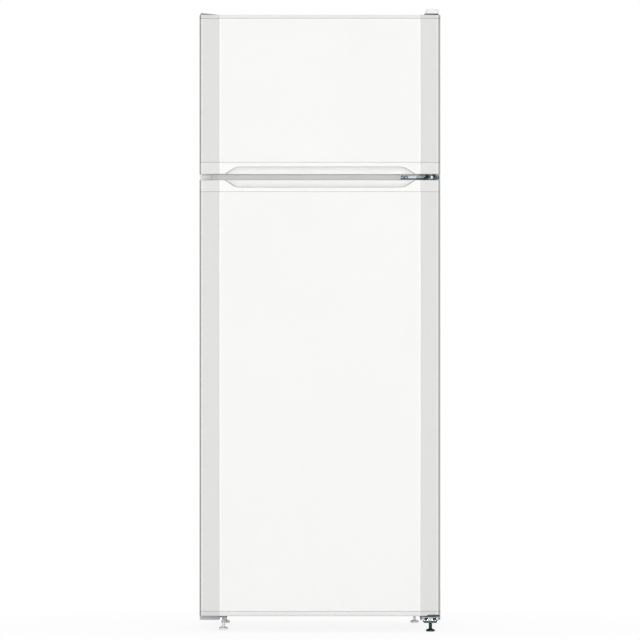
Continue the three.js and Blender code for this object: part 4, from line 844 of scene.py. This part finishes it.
def levellingFoot(corner, finish, stemRadius):
    node, body = "foot_" + corner, corner + "_foot"
    low, high = boxOf(node)
    centre = middleOf(node)
    r, h = foot["disc"], foot["height"]
    profile = [
        (r - 2.2, 0), (r - 1.2, 0.3), (r - 0.4, 1.2, True), (r, 2.2, True), (r, h * 0.5, True),
        (r - 0.5, h * 0.62, True), (r - 2.4, h * 0.78), (r - 4.5, h * 0.86), (stemRadius + 1, h * 0.93),
        (stemRadius + 0.6, h)]
    rows = [(radius, low.z + rise, *lobed) for radius, rise, *lobed in profile]
    knurl = lobes(foot["lobes"], foot["lobe"])
    base = turned(rows, "z", centre.x, centre.y, foot["lobes"] * 6, knurl)
    meshPiece(node + "_base", base, finish, node, body, sharp=50)
    stem = threadedStem(stemRadius, centre.x, centre.y, low.z + h * 0.9, high.z)
    meshPiece(node + "_stem", stem, finish, body=body, sharp=60)


for corner in ("front_left", "rear_left", "rear_right"):
    levellingFoot(corner, "footWhite", 3.5)
levellingFoot("front_right", "blackSteel", 4)
print("feet made")

middle = {
    "plate": 3, "base": 1032.2, "top": 1041.6, "flange": 2.6, "nose": 13.6, "gap": (1030.6, 1043.2),
    "pin": (1021, 1052.8), "collar": 12.6, "washer": 13.4, "washerHeight": 2.4, "brace": 219, "braceDepth": 5,
    "spacer": 235, "spacerDepth": 9, "endWidth": 4, "endDepth": 8, "screw": 2.9, "screwHeight": 2.2,
    "lockHeight": 4, "lockWidth": 3.4, "lockDepth": 5.4}


# middle bracket: a plate screwed to the cabinet, a folded flange along its foot and an arm to the pin
def middleBracket():
    low, high = boxOf("middle_hinge_bracket")
    x, y = hinge["x"], hinge["y"]
    face = high.y - middle["plate"]
    base, top, nose = middle["base"], middle["top"], middle["nose"]
    gapLow, gapHigh = middle["gap"]
    start, end = middle["brace"], middle["spacer"]

    def part(name, shape, finish, bevel, node=None):
        meshPiece("middle_hinge_" + name, shape, finish, node, bevel=bevel)

    plate = prism(roundBox(low.x, high.x, base, top, 1.6), "y", face, high.y)
    part("plate", plate, "paleZinc", 0.3, "middle_hinge_bracket")
    arm = [(low.x + 2, face + 1), (low.x + 2, face - 4.5), (start, face - 6), (x - nose, y + nose * 0.4)]
    arm += [(x - nose * math.cos(a), y - nose * math.sin(a)) for a in spaced(math.pi, 16)]
    arm += [(high.x - 1.5, face + 1)]
    part("arm", prism(arm, "z", base, base + middle["flange"]), "darkSteel", 0.4)
    brace = [(start, base + 1), (start + 3, top - 2.5), (start + 9, top - 0.6), (end + 0.5, top - 0.6),
             (end + 0.5, base + 1)]
    part("brace", prism(brace, "y", face - middle["braceDepth"], face + 1), "zinc", 0.5)
    spacer = [(end, base + 2), (end + 5, top - 1.6), (end + 12, top - 0.4), (x + 14, top - 0.4),
              (x + 16.5, base + 2)]
    part("spacer", prism(spacer, "y", face - middle["spacerDepth"], face - 1), "blackSteel", 0.6)
    stop = roundBox(x + 16.8, x + 16.8 + middle["endWidth"], base, top, 1)
    part("end", prism(stop, "y", face - middle["endDepth"], face - 1), "darkSteel", 0.3)
    part("collar", hingeDisc(middle["collar"], gapLow + 1, gapHigh - 1, 36), "blackSteel", 0.8)
    for name, z in (("lower", gapLow), ("upper", gapHigh - middle["washerHeight"])):
        washer = hingeDisc(middle["washer"], z, z + middle["washerHeight"], 36)
        part("washer_" + name, washer, "darkSteel", 0.5)
    part("pin", hingeDisc(hinge["pin"], *middle["pin"], 36), "paleZinc", 0.8)
    lockX, lockZ = x + 3, (gapLow + gapHigh) / 2
    width, height, front = middle["lockWidth"], middle["lockHeight"], y - middle["washer"]
    lock = [(lockX, lockZ - height, 0.8), (lockX + width, lockZ, 0.8), (lockX, lockZ + height, 0.8),
            (lockX - width, lockZ, 0.8)]
    part("lock", prism(rounded(lock, 3), "y", front, front + middle["lockDepth"]), "footWhite", 0.5)
    part("stop", turned([(2.2, base + 1), (2.2, base + 4.6)], "z", end, face - 13, 16), "footWhite", 0.3)


def bracketScrew(side):
    node = "middle_hinge_screw_" + side
    back, centre = boxOf(node)[1].y, middleOf(node)
    x, z = centre.x, centre.z
    screwHead(node + "_head", middle["screw"], middle["screwHeight"], x, back - 0.6, z, -1, "paleZinc", node)
    washer = turned([(4.15, back), (4.15, back - 0.5), (3.8, back - 0.8)], "y", x, z, 28)
    meshPiece(node + "_washer", washer, "blackSteel", sharp=40)


middleBracket()
bracketScrew("left")
bracketScrew("right")

lower = {
    "top": 34.5, "plate": 3, "lip": 13, "lipCorner": 6, "slot": (4.8, 26.6, 31.8, 2.3), "surround": 1,
    "slots": {"left": -0.24, "right": 0.27}, "washer": 22.6, "washerHeight": 4.5, "boss": 7, "bossBore": 4.4,
    "bossLow": 24.5, "pinTop": 45, "rim": 1.7, "rimRise": 3.6, "backLow": 26, "shadeSheetLow": 25.5,
    "hook": (27.4, 31), "tabLow": 26.5}


# lower bracket: a black bearing washer, whose black is painted shade for the shadow gap under the door; a
# plate with a slotted lip, a black rim and a dark sheet behind the slots, both painted shade; and a boss for
# the dark foot
def lowerBracket():
    low, high = boxOf("bottom_hinge_bracket")
    x0, x1, front, back = low.x, high.x, low.y, high.y
    top, corner = lower["top"], lower["lipCorner"]
    plateLow, lipLow = top - lower["plate"], top - lower["lip"]

    def part(name, shape, finish, bevel, node=None, holes=()):
        meshPiece("lower_hinge_" + name, shape, finish, node, bevel=bevel, holes=holes)

    half, slotLow, slotHigh, slotRound = lower["slot"]
    rim = lower["surround"]
    openings = []
    for side, share in lower["slots"].items():
        x = (x0 + x1) / 2 + (x1 - x0) * share
        slot = roundBox(x - half, x + half, slotLow, slotHigh, slotRound, 5)
        openings.append(prism(slot, "y", front - 1, front + 4))
        surround = roundBox(x - half - rim, x + half + rim, slotLow - rim, slotHigh + rim, 3.2, 5)
        part("slot_" + side, prism(surround, "y", front, front + 2), "paleZinc", 0.3, holes=openings[-1:])
    lip = rounded([(x0, lipLow, corner), (x1, lipLow, corner), (x1, top, 0.5), (x0, top, 0.5)], 6)
    shape = prism(lip, "y", front + 0.5, front + 2.8)
    part("lip", shape, "zinc", 0.5, "bottom_hinge_bracket", openings)
    part("plate", prism(roundBox(x0, x1, front, back, 3), "z", plateLow, top - 0.2), "zinc", 0.4)
    rise = roundBox(x0, x1, lower["backLow"], top - 0.2, 2)
    part("back", prism(rise, "y", back - lower["plate"], back), "zinc", 0.4)
    sections = []
    for t in spaced(1, 24):
        x = x0 + corner * 0.3 + (x1 - x0 - corner * 0.6) * t
        ends = max(0, abs(2 * t - 1) - 0.72) / 0.28
        z = lipLow - lower["rim"] + lower["rimRise"] * ends ** 2
        sections.append([(x, front, z), (x, front + 3.2, z), (x, front + 3.2, z + 5), (x, front, z + 5)])
    # the black rim is painted shade along the bracket's rolled lower edge
    part("rim", loft(sections), "black", 0.8)
    # a dark sheet behind the slots, painted shade that darkens what shows through them
    shadeSheet = roundBox(x0 + 3, x1 - 3, lower["shadeSheetLow"], plateLow, 1)
    part("shadeSheet", prism(shadeSheet, "y", front + 6.5, front + 8), "blackRubber", 0.3)
    # the washer's black rubber is painted shade for the shadow gap between the door and the bracket
    washerLow = top - 0.6
    washer = hingeDisc(lower["washer"], washerLow, washerLow + lower["washerHeight"], 48)
    part("washer", washer, "blackRubber", 0.2)
    hookLow, hookHigh = lower["hook"]
    hook = [(x1 - 1, hookLow, 0.5), (x1 + 3, hookLow + 0.8, 1), (x1 + 3, hookHigh - 0.6, 1),
            (x1 - 1, hookHigh, 0.5)]
    part("hook", prism(rounded(hook, 3), "y", front + 1, front + 5), "blackSteel", 0.3)
    tab = roundBox(x0 - 4.6, x0 - 2.2, lower["tabLow"], top, 0.6, 2)
    part("tab", prism(tab, "y", front + 2, front + 8), "darkSteel", 0.3)
    bossLow, bossHigh = lower["bossLow"], plateLow + 1
    bore = hingeDisc(lower["bossBore"], bossLow - 4.5, bossHigh + 3.5)
    part("boss", hingeDisc(lower["boss"], bossLow, bossHigh), "zinc", 0.4, holes=[bore])
    part("pin", hingeDisc(hinge["pin"], top - 1, lower["pinTop"]), "paleZinc", 0.8)


lowerBracket()

plug = {"thickness": 6, "corner": 1}


# plug at the other end of the gap, a thin cover over the rail's end
def gapPlug():
    low, high = boxOf("gap_cover_plug")
    outline = roundBox(low.x, high.x, low.z, high.z, plug["corner"])
    shape = prism(outline, "y", high.y - plug["thickness"], high.y)
    meshPiece("gap_plug", shape, "plug", "gap_cover_plug", bevel=0.5)


gapPlug()

upper = {"plate": 2.5, "corner": 9, "capCorner": 7, "capRound": 4, "capDraft": 0.5}


# upper bracket on the cabinet's top, with its white cover
def upperBracket():
    low, high = boxOf("top_hinge_bracket")
    top = high.z
    plate = prism(roundBox(low.x, high.x, low.y, high.y, upper["corner"], 6), "z", top - upper["plate"], top)
    # the plate's dark steel is partly its own finish and partly painted shade for the shadow gap along its
    # front edge
    meshPiece("upper_hinge_plate", plate, "darkSteel", "top_hinge_bracket", bevel=0.4)
    meshPiece("upper_hinge_pin", hingeDisc(hinge["pin"], low.z, top - 1), "paleZinc", bevel=0.8)
    low, high = boxOf("top_hinge_cap")
    draft, r = upper["capDraft"], upper["capRound"]
    levels = [(0, low.z), (draft, high.z - r - 1)]
    levels += [(draft + inset, high.z - drop) for inset, drop in quarterRound(r, 6)[1:]]
    shape = stacked(levels, lambda inset: roundBox(
        low.x + inset, high.x - inset, low.y + inset, high.y - inset, upper["capCorner"] - inset * 0.5, 6))
    meshPiece("top_hinge_cap_moulding", shape, "cap", "top_hinge_cap", sharp=40)


upperBracket()
print("brackets made")

circuit = {
    "tube": 2.9, "half": 244, "top": 1305, "bottom": 345, "passes": 13, "bend": 40, "wires": 27, "wire": 0.7,
    "wireSpan": 356, "wireTail": 7, "outlet": 14, "riser": 16, "wireEnds": 0.8}


# condenser on the back: a serpentine tube, with wires welded to both sides of it
def condenserGrille():
    top, half = circuit["top"], circuit["half"]
    drierTop, y = boxOf("filter_drier")[1].z, middleOf("filter_drier").y
    pitch = (top - circuit["bottom"]) / (circuit["passes"] - 1)
    corners = [(-half, y, top)]
    for i in range(circuit["passes"] - 1):
        side = 1 if i % 2 == 0 else -1
        z = top - i * pitch
        corners += [(side * half, y, z), (side * half, y, z - pitch)]
    last = top - (circuit["passes"] - 1) * pitch
    outletX = half - circuit["bend"] + circuit["outlet"]
    corners += [(outletX, y, last), (outletX, y, drierTop)]
    line = bentLine(corners[:-1], circuit["bend"] - 0.01, 12)[:-1]
    line += bentLine([line[-1]] + corners[-2:], circuit["outlet"], 6)[1:]
    meshPiece("condenser_tube", tube(line, circuit["tube"]), "black", "condenser", sharp=60)
    wires = []
    span, bottom, wireTop = circuit["wireSpan"], last - circuit["wireTail"], boxOf("condenser")[1].z
    for i, x in enumerate(spaced(span, circuit["wires"] - 1)):
        side = -1 if i % 2 else 1
        wireY = y + side * (circuit["tube"] + circuit["wire"] * 0.6)
        ends = random.uniform(-circuit["wireEnds"], circuit["wireEnds"])
        start, end = (x - span / 2, wireY, bottom + ends), (x - span / 2, wireY, wireTop - abs(ends))
        wires.append(tube([start, end], circuit["wire"], 6))
    meshPiece("condenser_wires", joinShapes(wires), "black", sharp=50)


random.seed(7)
condenserGrille()

drier = {"neck": 2.6, "collar": 3.5, "flare": 0.6}


def filterDrier():
    low, high = boxOf("filter_drier")
    centre = middleOf("filter_drier")
    r, neck, collar = (high.x - low.x) / 2, drier["neck"], drier["collar"]
    profile = [(neck, 0), (neck, 2), (neck + drier["flare"], collar)]
    profile += [(neck + (r - neck) * math.sin(a), collar + r * (1 - math.cos(a)))
                for a in spaced(math.pi / 2, 6)[1:]]
    rows = [(radius, low.z + rise) for radius, rise in profile]
    rows += [(radius, high.z - rise) for radius, rise in reversed(profile)]
    shape = turned(rows, "z", centre.x, centre.y, 28)
    meshPiece("filter_drier_body", shape, "copper", "filter_drier", sharp=50)


# from the compressor's stub round to the condenser's upper end
def dischargeTube():
    low, high = boxOf("discharge_tube")
    stub, y = middleOf("compressor").y, middleOf("filter_drier").y
    end, bend = boxOf("compressor")[0].x - 0.3, circuit["riser"]
    left, bottom, top = low.x + 3, low.z + 3, high.z - 3
    turn = end - 3 * bend
    corners = [(end, stub, bottom), (turn, stub, bottom), (turn - bend * 1.7, y, bottom), (left, y, bottom),
               (left, y, top), (-circuit["half"], y, top)]
    line = bentLine(corners, bend, 8)
    meshPiece("discharge_tube_body", tube(line, circuit["tube"]), "black", "discharge_tube", sharp=60)


filterDrier()
dischargeTube()

pot = {
    "radius": 74, "stretch": 1.2, "squash": 0.92, "height": 160, "mount": 14, "seam": 2, "spreadX": 82,
    "spreadY": 48, "edge": 12, "plate": 3, "rubber": 8, "bolt": 5, "washer": 1.6, "boltHeight": 3.8,
    "joint": 5}


# welded pot of the compressor; the seam's rows stand out from the shell
def compressorShell(x, y, base):
    r, lip = pot["radius"], pot["seam"]
    profile = [
        (0.5, 0.0), (0.66, 0.008), (0.78, 0.03), (0.875, 0.075), (0.94, 0.14), (0.98, 0.22), (0.997, 0.32),
        (1.0, 0.42), (1.0, 0.495), ("seam", 0.5), ("seam", 0.512), ("bead", 0.525), ("seam", 0.538),
        ("seam", 0.55), (1.0, 0.555), (0.992, 0.64), (0.972, 0.73), (0.93, 0.81), (0.865, 0.88),
        (0.77, 0.935), (0.64, 0.972), (0.5, 0.991), (0.34, 0.998), (0.16, 0.9995)]
    rings = []
    for share, rise in profile:
        radius = {"seam": r + lip, "bead": r + lip * 0.55}.get(share) or r * share
        rings.append([(x + px * pot["stretch"], y + py * pot["squash"], base + rise * pot["height"])
                      for px, py in circle(radius, steps=72)])
    meshPiece("compressor_shell", loft(rings), "black", "compressor", sharp=34)


def compressor():
    low = boxOf("compressor")[0]
    x = boxOf("relay_cover")[0].x - 0.3 - (pot["radius"] + pot["seam"]) * pot["stretch"]
    y = middleOf("compressor").y
    base = low.z + pot["mount"] - 0.3
    compressorShell(x, y, base)
    plateX, plateY = pot["spreadX"] + pot["edge"], pot["spreadY"] + pot["edge"]
    plan = roundBox(x - plateX, x + plateX, y - plateY, y + plateY, pot["edge"], 6)
    plateTop = base + pot["plate"]
    meshPiece("compressor_plate", prism(plan, "z", base, plateTop), "black", bevel=0.8)
    r, boltLow = pot["rubber"], plateTop + pot["washer"]
    rows = [(0.9, 0), (1, 1), (1, 4), (0.8, 5), (1, 6), (1, 9), (0.8, 10), (1, 11)]
    rows = [(r * share, low.z + rise) for share, rise in rows] + [(r, base)]
    rubbers, bolts = [], []
    for mx, my in [(x + i * pot["spreadX"], y + j * pot["spreadY"]) for i in (-1, 1) for j in (-1, 1)]:
        rubbers.append(turned(rows, "z", mx, my, 28))
        rubbers.append(turned([(r * 0.9, plateTop), (r * 0.8, boltLow)], "z", mx, my, 28))
        bolts.append(prism(circle(pot["bolt"], (mx, my), 6), "z", boltLow, boltLow + pot["boltHeight"]))
    meshPiece("compressor_mounts", joinShapes(rubbers), "blackRubber", sharp=35)
    meshPiece("compressor_bolts", joinShapes(bolts), "galvanised", bevel=0.5)
    stubZ = base + pot["height"] * 0.4
    start, end = (x - pot["radius"] * 0.9, y, stubZ), (low.x, y, stubZ)
    meshPiece("compressor_stub", tube([start, end], circuit["tube"]), "copper", sharp=60)
    joint = tube([end, (low.x + pot["joint"], y, stubZ)], circuit["tube"] * 1.35, 16)
    meshPiece("compressor_stub_joint", joint, "copper", sharp=60)


compressor()

relay = {"flange": 4, "step": 1.6, "round": 3, "corner": 6, "ribs": 5, "ribSide": 12, "rib": 1}


# moulded cover over the starting relay
def relayBox():
    low, high = boxOf("relay_cover")
    step, r = relay["step"], relay["round"]
    rows = [(0, low.x), (0, low.x + relay["flange"]), (1.2, low.x + relay["flange"] + 1), (step, high.x - r)]
    rows += [(step + inset, high.x - drop) for inset, drop in quarterRound(r, 4)[1:]]
    shape = stacked(rows, lambda inset: roundBox(
        low.y + inset, high.y - inset, low.z + inset, high.z - inset, relay["corner"], 6), "x")
    meshPiece("relay_cover_moulding", shape, "dark", "relay_cover", sharp=40)
    ribs, side, half = [], relay["ribSide"], relay["rib"]
    for i in range(relay["ribs"]):
        z = low.z + (high.z - low.z) * (0.3 + 0.1 * i)
        rib = roundBox(low.y + side, high.y - side, z - half, z + half, 0.9, 2)
        ribs.append(prism(rib, "x", high.x - 1, high.x - 0.1))
    meshPiece("relay_cover_ribs", joinShapes(ribs), "dark", bevel=0.3)


relayBox()

gland = {"neck": 0.78, "bore": 0.5, "lobes": 16, "lobe": 0.5}


def glandBush():
    low, high = boxOf("mains_gland")
    centre = middleOf("mains_gland")
    r, y0, y1 = (high.x - low.x) / 2, low.y, high.y
    step, neck, bore = (y1 - y0) / 8, r * gland["neck"], r * gland["bore"]
    rows = [(bore, y0), (r * 0.94, y0), (r, y0 + step * 0.6, True), (r, y0 + step * 1.8, True),
            (neck, y0 + step * 2), (neck, y1 - step * 2), (r, y1 - step * 1.8, True),
            (r, y1 - step * 0.6, True), (r * 0.94, y1), (r * 0.62, y1), (bore, y1 - step * 0.8)]
    shape = turned(rows, "y", centre.x, centre.z, 48, lobes(gland["lobes"], gland["lobe"]), True)
    meshPiece("mains_gland_bush", shape, "dark", "mains_gland", sharp=40)


glandBush()

rear = {
    "beadSide": 28, "beadEnd": 24, "beadCorner": 20, "bead": ((5, -0.2), (3, 0.5), (0, 0.9)), "inset": 12,
    "screwEnd": 30, "screw": 3.6, "screwHeight": 2.2, "bracketScrews": (1265, 785, 385), "bracketFace": 299}


# pressed bead of the rear panel, and the screws of the back
def rearPanel():
    low, high = boxOf("rear_panel")
    back, side, end = high.y, rear["beadSide"], rear["beadEnd"]
    section = [(-out, back + rise) for out, rise in rear["bead"]]
    section += [(out, back + rise) for out, rise in reversed(rear["bead"][:-1])]
    ring = band(low.x + side, high.x - side, low.z + end, high.z - end, rear["beadCorner"], section, 8)
    meshPiece("rear_panel_bead", ring, "rearSheet", sharp=60)
    z0, inset = low.z + rear["screwEnd"], rear["inset"]
    heights = [z0 + rise for rise in spaced(high.z - rear["screwEnd"] - z0, 3)]
    places = [(x, z, back) for x in (low.x + inset, high.x - inset) for z in heights]
    for node in ("condenser_bracket_left", "condenser_bracket_right"):
        places += [(middleOf(node).x, z, rear["bracketFace"]) for z in rear["bracketScrews"]]
    for i, (x, z, face) in enumerate(places):
        screwHead("rear_screw_%d" % (i + 1), rear["screw"], rear["screwHeight"], x, face, z, 1, "galvanised")


rearPanel()
print("back made")

seal = {"width": 16, "corner": 1}


# door seal: a foot with a bellows and a magnet bead
def doorSeal(node, body):
    low, high = boxOf(node)
    half, y0, deep = seal["width"] / 2, low.y, high.y - low.y
    side = [(1.0, 0.06), (0.98, 0.3), (0.8, 0.42), (0.78, 0.48), (0.97, 0.56), (0.97, 0.64), (0.8, 0.7),
            (0.82, 0.78), (0.95, 0.84), (0.95, 0.95), (0.88, 1.0), (0.2, 0.985)]
    section = [(half * a, y0 + deep * b) for a, b in side]
    section += [(-half * a, y0 + deep * b) for a, b in reversed(side)]
    section += [(-half * 0.96, y0), (half * 0.96, y0)]
    shape = band(low.x + half, high.x - half, low.z + half, high.z - half, seal["corner"], section, 4)
    meshPiece(node + "_bellows", shape, "rubber", node, body, sharp=50)


doorSeal("fridge_door_gasket", "fridge_door")
doorSeal("freezer_door_gasket", "freezer_door")

shelf = {"glass": 4, "trim": 14, "lip": 2, "depth": 10, "rear": 12, "corner": 5}


# shelf: toughened glass between a front and a rear trim
def glassShelf(node, body):
    low, high = boxOf(node)
    glassTop = high.z - shelf["lip"]
    glassLow = glassTop - shelf["glass"]
    y0, y1, bottom, top = low.y, high.y, high.z - shelf["trim"], high.z
    glass = roundBox(low.x + 1, high.x - 1, y0 + 4, y1 - 1.5, shelf["corner"])
    meshPiece(node + "_glass", prism(glass, "z", glassLow, glassTop - 0.1), "glass", node, body, 0.5)
    back, rest = y0 + shelf["depth"], glassLow - 1
    nose = [
        (y0, bottom + 1, 0.9), (y0 + 2.4, bottom, 1), (y0 + 2.6, rest, 1), (back, rest, 0.4),
        (back, glassLow, 0), (y0 + 4, glassLow, 0), (y0 + 4, glassTop, 0), (back, glassTop, 0),
        (back - 0.6, glassTop + 1, 0.4), (y0 + 4, top, 1.6), (y0, top, 2.4)]
    trim = prism(rounded(nose), "x", low.x, high.x)
    meshPiece(node + "_front_trim", trim, "liner", None, body, sharp=40)
    front = y1 - shelf["rear"]
    stop = [
        (front, glassTop, 0.4), (front, glassTop + 0.9, 0.5), (y1 - 3, top, 0.9), (y1, top, 0.9),
        (y1, glassLow, 0.5), (y1 - 1.4, glassLow, 0.4), (y1 - 1.4, glassTop, 0)]
    trim = prism(rounded(stop, 3), "x", low.x + 1, high.x - 1)
    meshPiece(node + "_rear_trim", trim, "liner", None, body, sharp=40)


for level in ("lower", "middle", "upper"):
    glassShelf("glass_shelf_" + level, level + "_shelf")
print("seals and shelves made")

dial = {
    "skirt": 13, "thickness": 5, "bar": 7, "barWidth": 5, "grips": 36, "grip": 0.5, "figures": 6,
    "figure": 3.4, "ring": 10.3, "from": 0.78, "print": 0.02, "pointer": 1.6}


# plain figure on the knob's skirt
def figure(text, x, y, z, finish, body):
    curve = bpy.data.curves.new("figure " + text, "FONT")
    curve.body = text
    curve.size = dial["figure"] * mm
    curve.align_x = "CENTER"
    curve.align_y = "CENTER"
    curve.extrude = 0.05 * mm
    sketch = linked("sketch", curve)
    bpy.context.view_layer.update()
    mesh = bpy.data.meshes.new_from_object(sketch)
    bpy.data.objects.remove(sketch)
    mesh.transform(Matrix.Translation((x * mm, y * mm, z * mm)) @ Matrix.Rotation(math.pi / 2, 4, "X"))
    mesh.materials.clear()
    material, slot = finishes[finish]
    mesh.materials.append(material)
    printed = linked("figure_" + text, mesh)
    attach(printed, body)


# thermostat knob: a gripped skirt with a bar across it, a plain scale and a pointer on the housing
def thermostatDial():
    node, body = "thermostat_knob", "thermostat"
    low, high = boxOf(node)
    centre = middleOf(node)
    x, z, r, half = centre.x, centre.z, dial["skirt"], dial["barWidth"] / 2
    face = low.y + dial["bar"]
    back = face + dial["thickness"]
    rows = [(r - 1, back), (r, back - 0.8, True), (r, face + 1.4, True), (r - 0.5, face + 0.5, True),
            (r - 1.2, face + 0.1), (r - 2, face), (3, face - 0.1)]
    skirt = turned(rows, "y", x, z, dial["grips"] * 4, lobes(dial["grips"], dial["grip"]))
    meshPiece("thermostat_dial", skirt, "pale", node, body, sharp=40)
    bar = roundBox(x - half, x + half, z - r + 1.4, z + r - 1.4, half * 0.98, 8)
    meshPiece("thermostat_bar", prism(bar, "y", low.y, face + 1), "pale", None, body, 0.7)
    mark = roundBox(x - 0.6, x + 0.6, z + 4, z + r - 2.6, 0.5, 3)
    meshPiece("thermostat_mark", prism(mark, "y", low.y - dial["print"], low.y + 0.4), "dark", None, body)
    shaft = turned([(3, back - 1), (3, high.y)], "y", x, z, 24)
    meshPiece("thermostat_shaft", shaft, "pale", None, body, sharp=40)
    for i in range(dial["figures"]):
        angle = math.pi * (dial["from"] * (1 - 2 * i / (dial["figures"] - 1)) + 0.5)
        figure(str(i), x + dial["ring"] * math.cos(angle), face - dial["print"],
               z + dial["ring"] * math.sin(angle), "dark", body)
    front, half, tip = boxOf("light_housing")[0].y, dial["pointer"], z + r + 0.8
    pointer = [(x - half, tip + 1.8), (x, tip), (x + half, tip + 1.8)]
    meshPiece("thermostat_pointer", prism(pointer, "y", front - 0.12, front + 0.3), "dark")


thermostatDial()

lampRibs = {"count": 9, "half": 0.9, "side": 4, "low": 1.4, "high": 2.2}


# ribs across the lamp's clear cover
def lampCoverRibs():
    low, high = boxOf("lamp_cover")
    ribs, half, side = [], lampRibs["half"], lampRibs["side"]
    for y in spaced(high.y - low.y, lampRibs["count"] + 1)[1:-1]:
        y += low.y
        rib = roundBox(low.x + side, high.x - side, y - half, y + half, 0.8, 2)
        ribs.append(prism(rib, "z", low.z + lampRibs["low"], low.z + lampRibs["high"]))
    meshPiece("lamp_cover_ribs", joinShapes(ribs), "clear", bevel=0.3)


lampCoverRibs()
print("controls made")
